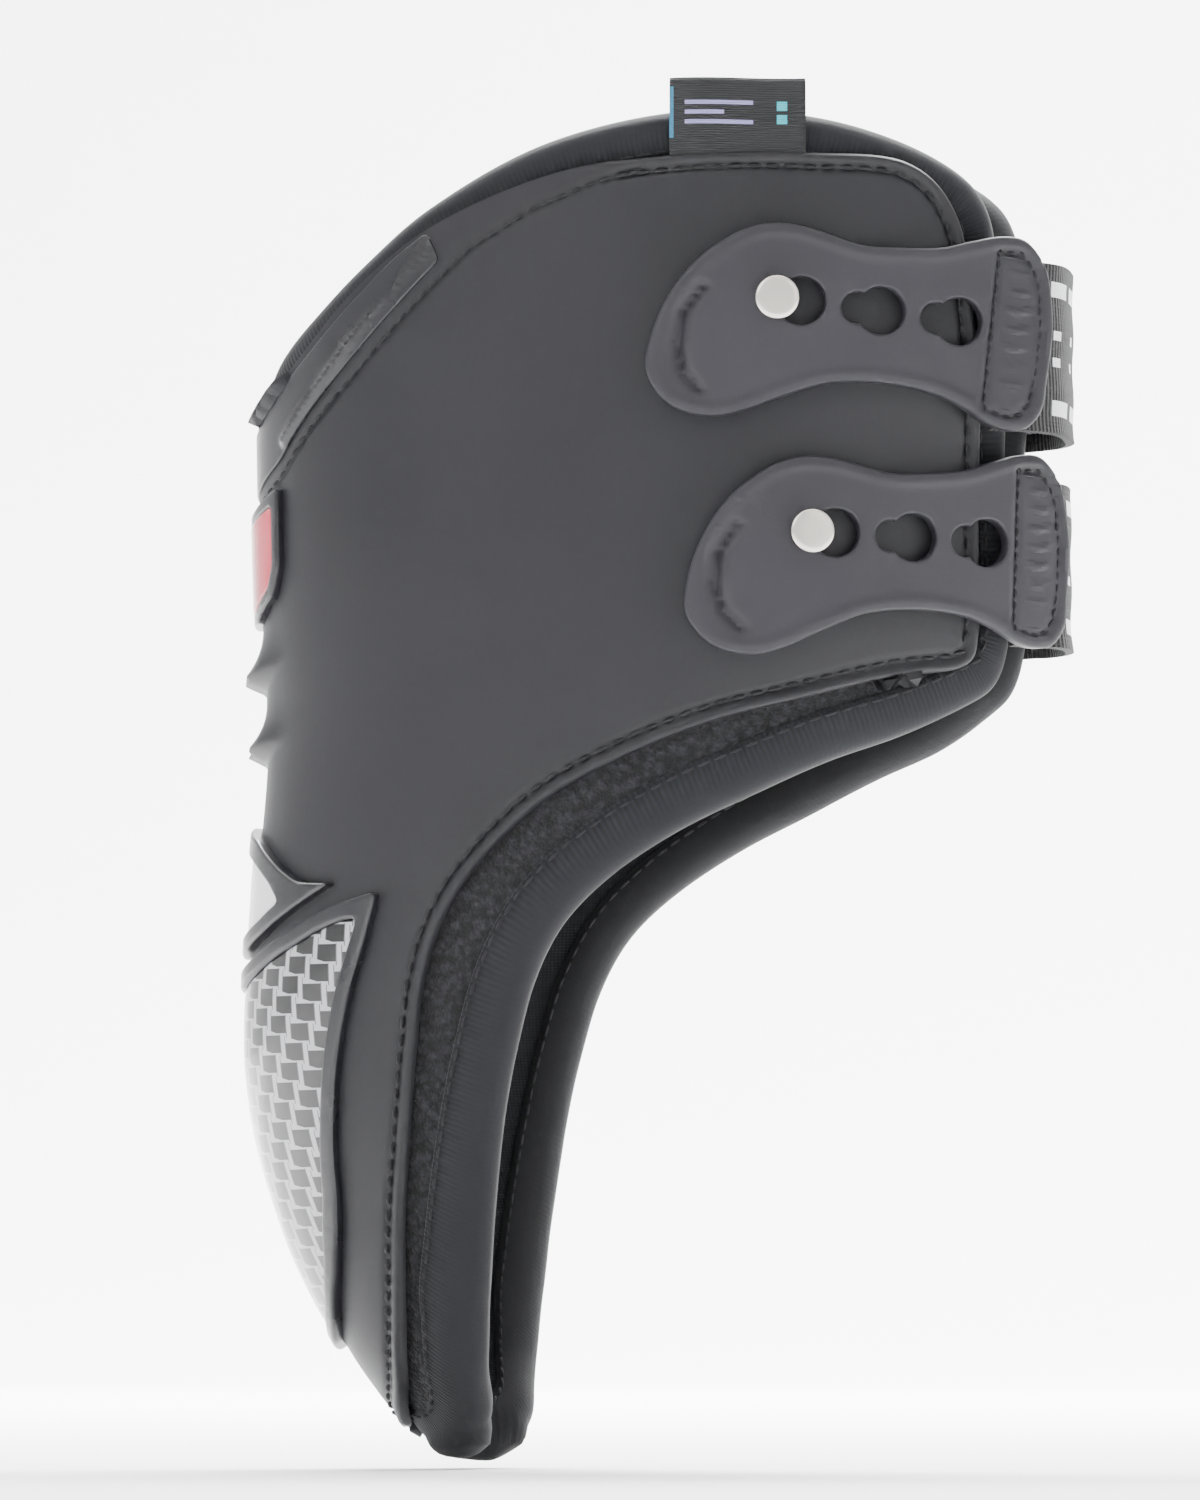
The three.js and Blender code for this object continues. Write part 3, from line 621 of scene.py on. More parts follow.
def label_material(ground, thread, accent):
    """Folded damask label: fine satin ground, three woven bars, two accent squares and an edge stripe."""
    material, tree, shader = new_material("damask_label", ground, 0.75, Sheen_Weight=0.05)
    u, v = flat_axes(tree)
    # each mark: centre and half width along, centre and half height across, in mm
    marks = [(3.6, 6.6, 1.9, 0.4, thread), (3.6, 6.6, -1.9, 0.4, thread), (6.4, 3.8, 0.0, 0.4, thread),
             (-8.6, 1.0, 1.3, 0.9, accent), (-8.6, 1.0, -1.3, 0.9, accent), (12.9, 0.5, 0.0, 5.0, "#2C6E8C")]
    tone = ground
    for cu, wu, cv, wv, colour in marks:
        inside = maths(tree, "MULTIPLY", maths(tree, "COMPARE", u, cu, wu),
                       maths(tree, "COMPARE", v, cv + 0.6, wv))
        tone = mixed(tree, inside, tone, colour)
    dress(tree, shader, tone, wave(tree, v, 0.45), 0.35)
    return material


def ribbed_binding_material(colour, light):
    """Binding tape: 1.1 mm ribs where it is sewn, a smooth blue-black nap over the fold, and painted shade on
    the face inside the boot, which is left darker.
    """
    material, tree, shader = new_material("ribbed_binding_tape", colour, 0.9, Sheen_Weight=0.04)
    u, v = flat_axes(tree)
    ribs = maths(tree, "MULTIPLY", wave(tree, u, 1.1), ramp(tree, v, 3.0, 8.0, 1.0, 0.12))
    height = maths(tree, "MULTIPLY_ADD", speckle(tree, 1200.0, 2.0), 0.8, ribs)
    # the lighter tone fades out over the fold, leaving the face inside the boot darker as painted shade
    share = maths(tree, "MULTIPLY", ramp(tree, height, -0.8, 1.6), ramp(tree, v, 11.0, 17.0, 1.0, 0.0))
    dress(tree, shader, mixed(tree, share, colour, light), height, 0.35)
    return material


def make_materials():
    s = bpy.context.scene.boot_colours
    m = MATERIALS
    # Matt dark grey with a barely visible grain: soft broad highlights, no reflections
    m["shell"] = grained("moulded_tpu_satin", s.shell, 0.5, 0.7, 0.12, Specular_IOR_Level=0.32)
    # The same polymer from a polished tool: tighter, brighter highlights
    m["gloss"] = grained("moulded_tpu_polished", s.gloss, 0.27, 0.9, 0.03)
    m["tab"] = grained("moulded_tpu_tab", s.tab, 0.5, 0.6, 0.12, Specular_IOR_Level=0.36)
    # Clear red lens over a bright base: saturated, with a wet shine
    m["badge"] = grained("red_acrylic", s.badge, 0.22, 3.0, 0.02, Coat_Weight=0.6, Coat_Roughness=0.1)
    # Satin foil behind a clear window: the brightest spot on the spine
    m["silver"] = silver_material(s.silver)
    # Bright and dark print under a clear glossy lens
    m["weave"] = weave_pad_material(s.weave_dark, s.weave_light)
    # Brushed nylon loop: dull, with a broken fuzzy surface
    m["pile"] = pile_material(s.pile, "#232429")
    # Closed-cell foam and knitted lining: dull, near black, no highlight
    m["foam"] = cloth("neoprene_foam", s.pile, "#24262C", 0.7, 0.7, 0.3, sheen=0.02)
    m["lining"] = cloth("nylon_jersey_lining", s.lining, "#12141B", 0.8, 0.6, 0.25, noise=0.3, sheen=0.03)
    # Ribbed tape, blue-black, a shade lighter than the lining inside it
    m["binding"] = ribbed_binding_material(s.binding, s.binding_light)
    # Dark thread, just lighter than what it is sewn into
    m["thread"] = cloth("bonded_polyester_thread", s.thread, "#242428", 0.4, 0.9, 0.5, sheen=0.02)
    # Black webbing with crisp white blocks
    m["elastic"] = elastic_material(s.elastic, s.elastic_white)
    # Fine woven label with pale generic marks
    m["label"] = label_material(s.label, s.label_thread, s.label_accent)
    # Polished nickel plate: neutral warm grey metal with faint turning marks
    m["nickel"] = grained("nickel_plated_steel", s.nickel, 0.22, 1.6, 0.05, metallic=1.0)


# ---- settings ----
def length(name, about, default):
    """A size in metres, shown in the scene's units."""
    return FloatProperty(name=name, description=about, default=default, min=0,
                         subtype="DISTANCE", unit="LENGTH")


def paint(name, default):
    """A colour as an sRGB hex value."""
    return StringProperty(name=name, description=f"{name}: sRGB hex", default=default,
                          maxlen=7, subtype="NONE")


class BootSizes(bpy.types.PropertyGroup):
    lip: length("Lip height", "How far the shell's rolled edge stands proud", 0.0006)
    groove: length("Stitch groove", "Depth of the stitch groove", 0.0005)
    binding_width: length("Binding width", "Visible width of the binding", 0.012)
    stitch_pitch: length("Stitch pitch", "Distance between stitches", 0.0036)


class BootColours(bpy.types.PropertyGroup):
    shell: paint("Shell", "#1A1A1E")
    gloss: paint("Polished trim", "#1C1C20")
    tab: paint("Tabs", "#27262B")
    badge: paint("Badge", "#B8203A")
    silver: paint("Silver insert", "#D8D8DC")
    weave_dark: paint("Weave bricks", "#0C0C0E")
    weave_light: paint("Weave bars", "#A9A9AD")
    pile: paint("Loop pile", "#08080A")
    lining: paint("Lining", "#030407")
    binding: paint("Binding", "#020306")
    # lighter tone of the binding's outer face: rib tone and painted light, against the painted shade inside
    binding_light: paint("Binding ribs and painted light", "#0E1118")
    thread: paint("Thread", "#0A0A0C")
    elastic: paint("Elastic", "#08080A")
    elastic_white: paint("Elastic blocks", "#DEDEE2")
    label: paint("Label", "#0E1013")
    label_thread: paint("Label thread", "#8A86B4")
    label_accent: paint("Label accent", "#2FA6B4")
    nickel: paint("Nickel", "#D8D2CA")
    floor: paint("Floor", "#F4F4F4")


# ---- operators ----
# name, place and size in metres, power in watts
LAMPS = (("key", (-0.9, -1.5, 1.3), 1.2, 15), ("fill", (1.3, -1.1, 0.5), 1.4, 5),
         ("top", (0, -0.1, 1.6), 1.3, 6), ("back_wash", (0, 2.2, 2.6), 3.0, 1100))


class BOOT_OT_stage(bpy.types.Operator):
    """Pale sweep, soft lights and the camera"""
    bl_idname = "boot.stage"
    bl_label = "Stage"

    def execute(self, context):
        colour = context.scene.boot_colours.floor
        deselect()
        bpy.ops.mesh.primitive_plane_add(size=2, location=(0, 0, FLOOR))
        sweep = context.object
        bpy.ops.object.mode_set(mode="EDIT")
        bpy.ops.mesh.select_all(action="SELECT")
        bpy.ops.transform.resize(value=(9, 6, 1))
        bpy.ops.object.mode_set(mode="OBJECT")
        for vertex in sweep.data.vertices:
            vertex.select = vertex.co.y > 0
        for edge in sweep.data.edges:
            edge.select = all(sweep.data.vertices[i].co.y > 0 for i in edge.vertices)
        bpy.ops.object.mode_set(mode="EDIT")
        bpy.ops.mesh.select_mode(type="EDGE")
        bpy.ops.mesh.extrude_region_move(TRANSFORM_OT_translate={"value": (0, 0, 6)})
        bpy.ops.object.mode_set(mode="OBJECT")
        apply_modifier(sweep, "BEVEL", width=2.5, segments=12, limit_method="ANGLE")
        bpy.ops.object.shade_smooth()
        bpy.ops.object.transform_apply(location=True, rotation=True, scale=True)
        sweep.name = "studio_sweep"
        # Matt white paper, which the wash lamp behind the boot brings up to a plain pale ground
        material, tree, shader = new_material("matt_backdrop_paper", colour, 0.95)
        dress(tree, shader, height=speckle(tree, 220.0, 2.0), strength=0.04, depth=0.0005)
        sweep.data.materials.append(material)
        world = bpy.data.worlds.new("studio_air")
        world.use_nodes = True
        world.node_tree.nodes["Background"].inputs["Color"].default_value = linear("#F6F8FC")
        world.node_tree.nodes["Background"].inputs["Strength"].default_value = 0.42
        context.scene.world = world
        for name, place, size, power in LAMPS:
            deselect()
            bpy.ops.object.light_add(type="AREA", location=place)
            lamp = context.object
            lamp.name = name
            lamp.data.size = size
            lamp.data.energy = power
            aim = Vector((0, 3, 0.6)) if name == "back_wash" else Vector((0, 0, 0.13))
            lamp.rotation_euler = (aim - Vector(place)).to_track_quat("-Z", "Y").to_euler()
        a, e = math.radians(9), math.radians(-3.3)
        right = Vector((math.cos(a), math.sin(a), 0))
        back = Vector((math.sin(a) * math.cos(e), -math.cos(a) * math.cos(e), math.sin(e)))
        up = back.cross(right)
        target = right * -0.0077 + up * 0.1356
        deselect()
        bpy.ops.object.camera_add(location=target + back * 2.0)
        camera = context.object
        camera.rotation_euler = (-back).to_track_quat("-Z", "Y").to_euler()
        camera.data.lens = 244.6
        camera.data.sensor_width = 36
        camera.data.clip_end = 50
        context.scene.camera = camera
        return {"FINISHED"}


def shell_height(points):
    """How far the shell's face stands proud at flat points, with lip, groove and fins."""
    sizes = bpy.context.scene.boot_sizes
    edge = gap_to(points, closed_edge("shell"))
    lip = sizes.lip * MM * np.exp(-((edge - 1.2) / 0.85) ** 2) - 1.5 * np.clip(1 - edge / 0.6, 0, 1) ** 2
    groove = -sizes.groove * MM * np.exp(-((edge - 3.1) / 0.6) ** 2)
    seam = gap_to(points, np.array(COLLAR_SEAM), False)
    seam = np.minimum(seam, gap_to(points, np.array(COLLAR_SEAM) * [-1, 1], False))
    pressed = -0.5 * np.exp(-(seam / 0.8) ** 2)
    rim = 1 - np.clip((points[:, 1] - 183) / 6, 0, 1) * np.clip((100 - np.abs(points[:, 0])) / 8, 0, 1)
    fins = 0
    for height in FIN_HEIGHTS:
        rise = points[:, 1] - height - np.abs(points[:, 0]) * 0.28
        shape = np.where(rise > 0, np.clip(1 - rise / 10, 0, 1) ** 2.2, np.clip(1 + rise / 2.2, 0, 1))
        fins = fins + FIN_RISE * shape * np.clip(1 - (points[:, 0] / 15) ** 2, 0, 1)
    return (lip + groove) * rim + pressed + fins


class BOOT_OT_shell(bpy.types.Operator):
    """Moulded shell with rolled lip, stitch groove and fins"""
    bl_idname = "boot.shell"
    bl_label = "Shell"

    def execute(self, context):
        side_columns, near_edge = 46, 13

        def place(x, y):
            rows = flowing(ROWS, (y + 1) / 2 * LAST)
            run = rows[:, 2:4] - rows[:, 0:2]
            length = np.hypot(run[:, 0], run[:, 1])
            ends = flowing(ROWS, np.clip((y + 1) / 2 * LAST + 0.05, 0, LAST))[:, 2:4]
            starts = flowing(ROWS, np.clip((y + 1) / 2 * LAST - 0.05, 0, LAST))[:, 2:4]
            edge = ends - starts
            cross = np.abs(edge[:, 0] * run[:, 1] - edge[:, 1] * run[:, 0])
            slant = np.clip(cross / (np.hypot(*edge.T) * length + 1e-9), 0.3, 1)
            k = np.abs(x) * side_columns
            inner = side_columns - near_edge
            rim = np.minimum(6 / slant, 0.55 * length)
            e = np.interp(k - inner, [0, 3, 5, 8, 10, 12, near_edge], [1, 0.66, 0.52, 0.33, 0.17, 0.05, 0])
            d = np.where(k <= inner, (length - rim) * k / inner, length - rim * e)
            flat = rows[:, 0:2] + run * (d / length)[:, None]
            flat = np.stack([-np.sign(x) * flat[:, 0], flat[:, 1]], axis=1)
            return skin(flat[:, 0], flat[:, 1], shell_height(flat)), flat

        shell = grid_piece(side_columns * 2, 230, place)
        apply_modifier(shell, "SOLIDIFY", thickness=0.0024, offset=-1.0)
        settle(shell, "shell_skin", "boot", MATERIALS["shell"], 50)
        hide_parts("outer_shell")
        return {"FINISHED"}


def vein_sheet(columns, rows, margin, out, puff=0.0):
    """A sheet on the liner's veins, margin mm inside the liner's edge."""
    def place(x, y):
        r = (y + 1) / 2 * (LAST - 0.75) + 0.05
        line = np.where((x > 0)[:, None], flowing(ROWS, r), flowing(FAR_ROWS, r))
        spine, shell, liner = line[:, 0:2], line[:, 2:4], line[:, 4:6]
        first = np.hypot(*(shell - spine).T)
        second = np.hypot(*(liner - shell).T)
        whole = first + second
        d = np.maximum(whole - margin, whole * 0.5) * np.abs(x)
        on_first = d <= first
        q1 = np.clip(d / first, 0, 1)[:, None]
        q2 = np.clip((d - first) / np.maximum(second, 0.1), 0, 1)[:, None]
        flat = np.where(on_first[:, None], spine + (shell - spine) * q1, shell + (liner - shell) * q2)
        flat = np.stack([-np.sign(x) * flat[:, 0], flat[:, 1]], axis=1)
        depth = np.full(len(x), float(out)) + puff * np.sin(flat[:, 1] / 19)
        return skin(flat[:, 0], flat[:, 1], depth), flat
    return grid_piece(columns, rows, place)


class BOOT_OT_liner(bpy.types.Operator):
    """Loop pile facing, foam and jersey lining of the removable liner"""
    bl_idname = "boot.liner"
    bl_label = "Liner"

    def execute(self, context):
        pile = vein_sheet(90, 170, 5, -2.95)
        apply_modifier(pile, "SOLIDIFY", thickness=0.0014, offset=-1.0)
        settle(pile, "loop_pile", "boot", MATERIALS["pile"])
        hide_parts("loop_pile_facing")
        foam = vein_sheet(80, 110, 6, -4.7)
        apply_modifier(foam, "SOLIDIFY", thickness=0.005, offset=-1.0)
        settle(foam, "foam_core", "boot", MATERIALS["foam"])
        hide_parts("liner_foam")
        lining = vein_sheet(90, 150, 5, -10.0, 0.15)
        apply_modifier(lining, "SOLIDIFY", thickness=0.0008, offset=-1.0)
        settle(lining, "jersey_lining", "boot", MATERIALS["lining"])
        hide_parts("liner_lining")
        return {"FINISHED"}


def binding_width(path):
    """Visible width of the binding along its path: narrow round the foot, over the top and front."""
    wide = bpy.context.scene.boot_sizes.binding_width * MM
    z, s = path[:, 1], np.abs(path[:, 0])
    width = np.interp(z, [0, 6, 22, 40, 120, 140, 160, 215, 245, 262],
                      [8, 9, wide, wide, wide * 0.95, wide * 0.8, 8.5, 8.5, 9, 9])
    return np.where((z < 60) & (s < 20), np.minimum(width, 6.5 + s * 0.12), width)


def liner_edge():
    """The liner's edge with eased corners; its lobe at the foot hangs a little lower."""
    path = softened(closed_edge("liner"), 6)
    path[:, 1] -= 2.2 * np.exp(-(path[:, 1] / 7) ** 2) * np.clip(np.abs(path[:, 0]) / 8, 0, 1)
    return path


class BOOT_OT_binding(bpy.types.Operator):
    """Ribbed binding tape folded round the liner's whole edge"""
    bl_idname = "boot.binding"
    bl_label = "Binding"

    def execute(self, context):
        path = liner_edge()
        width = softened(binding_width(path)[:, None], 14)[:, 0]
        normal = softened(inward(path), 8)
        normal /= np.linalg.norm(normal, axis=1, keepdims=True)
        lengths = np.concatenate([[0], np.cumsum(np.linalg.norm(np.diff(path, axis=0), axis=1))])
        count = len(path)
        # the folded tape in section: inset as a share of the width, height from the shell's face
        section = np.array([
            (1.0, -2.75), (0.97, -2.3), (0.8, -2.0), (0.55, -1.75), (0.34, -1.9), (0.18, -2.6), (0.07, -3.8),
            (0.0, -5.4), (0.0, -7.6), (0.06, -9.4), (0.17, -10.8), (0.34, -11.7), (0.55, -12.0),
            (0.72, -11.9), (0.78, -11.4)])
        stops = np.linspace(0, 14, 29)
        section = np.stack([np.interp(stops, range(15), section[:, k]) for k in (0, 1)], axis=1)
        steps = np.hypot(np.diff(section[:, 0]) * 12, np.diff(section[:, 1]))
        girth = np.concatenate([[0], np.cumsum(steps)])

        def place(x, y):
            i = np.round((x + 1) / 2 * count).astype(int)
            j = np.round((y + 1) / 2 * 28).astype(int)
            inset, out = section[j, 0], section[j, 1]
            here = path[i % count] + normal[i % count] * (inset * width[i % count])[:, None]
            flat = np.stack([lengths[i % count] + (i == count) * (lengths[-1] + 1), girth[j]], axis=1)
            return skin(here[:, 0], here[:, 1], out), flat

        tape = grid_piece(count, 28, place)
        weld(tape, 1e-7)
        apply_modifier(tape, "SOLIDIFY", thickness=0.0008, offset=-1.0)
        settle(tape, "binding_tape", "boot", MATERIALS["binding"], 70)
        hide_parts("binding_near", "binding_far")
        return {"FINISHED"}


def sewn(out, side=1):
    """Lays stitches on the skin, out mm proud of it, standing out (1) or in (-1)."""
    return lambda p, h: skin(p[:, 0], p[:, 1], out + side * h)


class BOOT_OT_stitching(bpy.types.Operator):
    """Rows of separate stitches on the shell, its collar seam and the binding"""
    bl_idname = "boot.stitching"
    bl_label = "Stitching"

    def execute(self, context):
        pitch = context.scene.boot_sizes.stitch_pitch * MM
        rim = closed_edge("shell")
        path = rim + softened(inward(rim), 4) * 3.1
        open_run = np.flatnonzero((path[:, 1] > 183) & (np.abs(path[:, 0]) < 97))
        path = np.roll(path, -open_run[-1] - 1, 0)[:len(path) - len(open_run)]
        thread = MATERIALS["thread"]
        stitch_row("shell_stitches", path, sewn(-0.12), thread, "boot", pitch=pitch)
        seam = np.array(COLLAR_SEAM)
        whole = np.concatenate([(seam * [-1, 1])[::-1], seam[1:]])
        stitch_row("collar_stitches", whole, sewn(-0.05), thread, "boot",
                   length=2.1, width=0.6, pitch=3.1)
        edge = liner_edge()
        width = softened(binding_width(edge)[:, None], 14)
        normal = softened(inward(edge), 8)
        normal /= np.linalg.norm(normal, axis=1, keepdims=True)
        for face, share, lay in (("outer", 0.9, sewn(-1.95)), ("inner", 0.66, sewn(-12.1, -1))):
            stitch_row(f"binding_stitches_{face}", edge + normal * width * share, lay, thread,
                       "boot", length=2.4, width=0.6, pitch=3.4, closed=True)
        return {"FINISHED"}


def laid_on_skin(low, high, extra=None):
    def shape(u, v, q):
        out = low + (high - low) * q
        if extra is not None:
            out = out + extra(u, v) * (q > 0.5)
        return skin(u, v, out)
    return shape


class BOOT_OT_spine_trim(bpy.types.Operator):
    """Strike pad and frame, silver insert and frame, red badge and bezel, polished collar"""
    bl_idname = "boot.spine_trim"
    bl_label = "Spine trim"

    def execute(self, context):
        m = MATERIALS
        pad_edge = both_sides(STRIKE_OPENING)
        swage_line = spaced(curve_through(COLLAR_SWAGE), 1.0)

        def fine(*edges):
            return [both_sides(edge, 1.0, 1) for edge in edges]

        def crown(u, v):
            return 0.9 * np.clip(gap_to(np.stack([u, v], 1), pad_edge) / 14, 0, 1) ** 0.7

        def dome(u, v):
            return 0.5 * np.cos(np.clip(u / 18, -1, 1) * 1.5)

        def swage(u, v):
            points = np.stack([np.abs(u), v], 1)
            width = np.clip((58 - points[:, 0]) / 24, 0.3, 1)
            crest = np.exp(-(gap_to(points, swage_line, False) / (1.1 * width)) ** 2)
            return 1.1 * crest * width

        # name, CAD node, slot, material, outlines, thickness, bevel, mesh step, low and high face, relief
        for name, node, slot, finish, lines, thick, bevel, step, low, high, extra in (
                ("strike_surround", "strike_frame", "gloss_trim", "gloss",
                 [both_sides(STRIKE_EDGE), pad_edge], 3.0, 0.8, 2.5, -0.6, 2.3, None),
                ("strike_plate", "strike_pad", "strike_weave", "weave",
                 [pad_edge], 2.0, 0.3, 2.2, 0.0, 1.3, crown),
                ("insert_surround", "insert_frame", "gloss_trim", "gloss",
                 fine(INSERT_EDGE, INSERT_OPENING), 2.6, 0.6, 2.5, -0.6, 2.2, None),
                ("silver_plate", "spine_insert", "silver_insert", "silver",
                 fine(INSERT_OPENING), 1.6, 0.3, 2.5, 0, 1.3, None),
                ("badge_surround", "badge_bezel", "gloss_trim", "gloss",
                 fine(BADGE_EDGE, BADGE_OPENING), 2.4, 0.6, 2.5, -0.5, 1.7, None),
                ("red_badge", "spine_badge", "badge_red", "badge",
                 fine(BADGE_OPENING), 1.8, 0.4, 2.5, 0, 1.4, dome),
                ("polished_collar", "back_collar", "gloss_trim", "gloss",
                 [both_sides(COLLAR_EDGE, 1.2, 1)], 1.6, 0.4, 1.1, -0.5, 0.45, swage)):
            piece = relief(lines, thick, bevel, step, laid_on_skin(low, high, extra))
            settle(piece, name, "boot", m[finish])
            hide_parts(node)
        return {"FINISHED"}


def keyhole(centre):
    """Keyhole outline: a small lobe for the shank and a big one for the head."""
    cross = (HOLE_SMALL ** 2 - HOLE_BIG ** 2 + HOLE_STEP ** 2) / (2 * HOLE_STEP)
    small, big = math.acos(cross / HOLE_SMALL), math.acos((HOLE_STEP - cross) / HOLE_BIG)
    a = np.linspace(small, 2 * math.pi - small, 26)
    b = np.linspace(math.pi + big, 3 * math.pi - big, 34)[1:-1]
    return np.concatenate([np.stack([centre + HOLE_SMALL * np.cos(a), HOLE_SMALL * np.sin(a)], 1),
                           np.stack([centre + HOLE_STEP + HOLE_BIG * np.cos(b), HOLE_BIG * np.sin(b)], 1)])


THUMB_LINE = np.array([(-14.2, 0.5), (-17.2, -5), (-17.6, -11), (-15.8, -16), (-12.5, -19.2)])
PANEL_LINE = np.array([(42, 14.6), (46.6, 15), (49.3, 12.4), (51, 8.6), (52, 1), (51.9, -8), (51.3, -13.6),
                       (49.4, -16.2), (46.6, -17), (42, -16)])


def tab_relief(u, v, edge):
    """Height of a tab's face: rolled rim, thumb groove and lip, and the stitched panel at its end."""
    points = np.stack([u, v], 1)
    rim = 0.3 * np.exp(-((gap_to(points, edge) - 1.6) / 1.0) ** 2)
    thumb = gap_to(points, THUMB_LINE, False)
    nose = np.clip((-13.5 - u) / 5, 0, 1) * np.clip(thumb / 2.2, 0, 1)
    groove = gap_to(points, np.concatenate([PANEL_LINE, PANEL_LINE[:1]]), False)
    inside = (u > 42) & (u < 51.5) & (v > -15.8) & (v < 14.4)
    bars = np.zeros(len(u))
    for k in range(7):
        centre = 10.4 - k * 3.6
        bars += 0.35 * (np.abs(u - 46.8) < 2.0) * (np.abs(v - centre - np.abs(u - 46.8) * 0.5) < 0.6)
    return (rim - 1.25 * np.exp(-(thumb / 1.0) ** 2) + 0.8 * nose - 0.8 * np.exp(-(groove / 0.8) ** 2)
            - 0.25 * inside * (groove > 1.0) + bars)


class BOOT_OT_tabs(bpy.types.Operator):
    """Keyhole tabs with thumb lip and stitched end panel"""
    bl_idname = "boot.tabs"
    bl_label = "Tabs"

    def execute(self, context):
        outline = np.array(TAB_OUTLINE)[::-1]
        closed = np.concatenate([outline, outline[:3]])
        r = np.linspace(1, len(outline) + 1, 261)[:-1]
        edge = spaced(flowing(closed, r), 1.0, True)
        for which in ("upper", "lower"):
            holes = [keyhole(k * HOLE_PITCH) for k in range(3)]

            def shape(u, v, q):
                out = 1.0 + 3.0 * q + tab_relief(u, v, edge) * (q > 0.6)
                return on_tab(which, u, v, out)

            tab = relief([edge, *holes], 3.0, 0.55, 0.95, shape)
            settle(tab, f"{which}_keyhole_tab", f"{which}_tab", MATERIALS["tab"], 45)
            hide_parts(f"{which}_tab")
            stitch_row(f"{which}_tab_stitches", np.concatenate([PANEL_LINE, PANEL_LINE[:1]]),
                       lambda p, h: on_tab(which, p[:, 0], p[:, 1], h + 3.4), MATERIALS["thread"],
                       f"{which}_tab", length=1.7, width=0.55, pitch=2.4)
        return {"FINISHED"}


class BOOT_OT_studs(bpy.types.Operator):
    """Nickel studs with a low domed head, and their back plates"""
    bl_idname = "boot.studs"
    bl_label = "Studs"

    def execute(self, context):
        profile = [(0, 6.0), (1.9, 6.0), (3.4, 5.96), (3.95, 5.85), (4.25, 5.6), (4.33, 5.25), (4.33, 4.75),
                   (4.2, 4.4), (3.2, 4.28), (2.75, 4.1), (2.7, -1.9), (2.62, -2.5), (0, -2.55)]
        for which in ("upper", "lower"):
            angle = stud_frame(which)[0]
            base = on_tab(which, np.array([0.0]), np.array([0.0]), np.array([0.0]))[0] * 1000
            across = np.array([math.cos(angle), math.sin(angle), 0])
            out = np.array([math.sin(angle), -math.cos(angle), 0])

            def place(x, y):
                turn = (x + 1) * math.pi
                k = (y + 1) / 2 * (len(profile) - 1)
                r = np.interp(k, range(len(profile)), [p[0] for p in profile])
                h = np.interp(k, range(len(profile)), [p[1] for p in profile])
                where = base + np.outer(r * np.cos(turn), across)
                where = where + np.outer(r * np.sin(turn), (0, 0, 1)) + np.outer(h, out)
                return where / 1000, np.stack([turn * 4, h], 1)

            stud = grid_piece(48, len(profile) - 1, place)
            weld(stud, 1e-6)
            apply_modifier(stud, "SUBSURF", levels=1, render_levels=1)
            settle(stud, f"{which}_press_stud", "boot", MATERIALS["nickel"], 50)
            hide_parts(f"{which}_stud")
            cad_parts[f"{which}_stud_backplate"].data.materials.clear()
            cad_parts[f"{which}_stud_backplate"].data.materials.append(MATERIALS["nickel"])
        return {"FINISHED"}


def band(line, low, high, thick, columns, curl, start=0.0):
    """A webbing band standing on edge along a plan line, mm, with eased edges."""
    line = spaced(line, 0.25)
    t = np.gradient(line, axis=0)
    t /= np.linalg.norm(t, axis=1, keepdims=True)
    out = np.stack([t[:, 1], -t[:, 0]], axis=1)
    lengths = np.concatenate([[0], np.cumsum(np.linalg.norm(np.diff(line, axis=0), axis=1))])

    def place(x, y):
        at = (x + 1) / 2 * lengths[-1]
        p = np.stack([np.interp(at, lengths, line[:, k]) for k in (0, 1)], 1)
        n = np.stack([np.interp(at, lengths, out[:, k]) for k in (0, 1)], 1)
        n /= np.linalg.norm(n, axis=1, keepdims=True)
        z = (low + high) / 2 + y * (high - low) / 2
        wave = curl * np.clip(-y - 0.72, 0, 1) ** 1.3 * 9 + 0.25 * np.sin(z * 0.5)
        p = p + n * (thick / 2 + wave * 0.6)[:, None]
        return np.stack([p[:, 0], p[:, 1], z], 1) / 1000, np.stack([at + start, z - (low + high) / 2], 1)

    piece = grid_piece(columns, 26, place)
    middle = piece.data.polygons[len(piece.data.polygons) // 2]
    at = np.array(middle.center[:2]) * 1000
    nearest = np.argmin(np.hypot(*(line - at).T))
    if np.dot(np.array(middle.normal[:2]), out[nearest]) < 0:
        piece.data.flip_normals()
    apply_modifier(piece, "SOLIDIFY", thickness=thick / 1000, offset=-1.0)
    return piece


def curve_through(points, count=160):
    points = np.asarray(points, float)
    return flowing(points, np.linspace(0, len(points) - 1, count))


class BOOT_OT_elastics(bpy.types.Operator):
    """Woven elastics from the tabs round the front, with their sewn ends"""
    bl_idname = "boot.elastics"
    bl_label = "Elastics"

    def execute(self, context):
        for which in ("upper", "lower"):
            low, high = ELASTIC_Z[which]
            main = curve_through(elastic_line(which))
            sewn = curve_through([corner_point(which, x) for x in (73.2, *SEWN_X)])
            whole = np.concatenate([main, sewn[2:]])
            lengths = np.concatenate([[0], np.cumsum(np.linalg.norm(np.diff(whole, axis=0), axis=1))])
            pivot = np.array(PIVOT[which])
            split = lengths[np.argmin(np.hypot(*(whole - pivot).T))] - 5
            free = whole[lengths <= split]
            held = whole[lengths >= split - 0.01]
            piece = band(free, low, high, 1.7, 90, 0.35)
            settle(piece, f"{which}_elastic_band", None, MATERIALS["elastic"], 60)
            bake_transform(piece)
            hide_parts(f"{which}_elastic")
            piece = band(held, low, high, 1.7, 70, 0.35, float(lengths[lengths <= split][-1]))
            settle(piece, f"{which}_elastic_anchor", None, MATERIALS["elastic"], 60)
            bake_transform(piece)
            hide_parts(f"{which}_elastic_sewn_end")
        return {"FINISHED"}


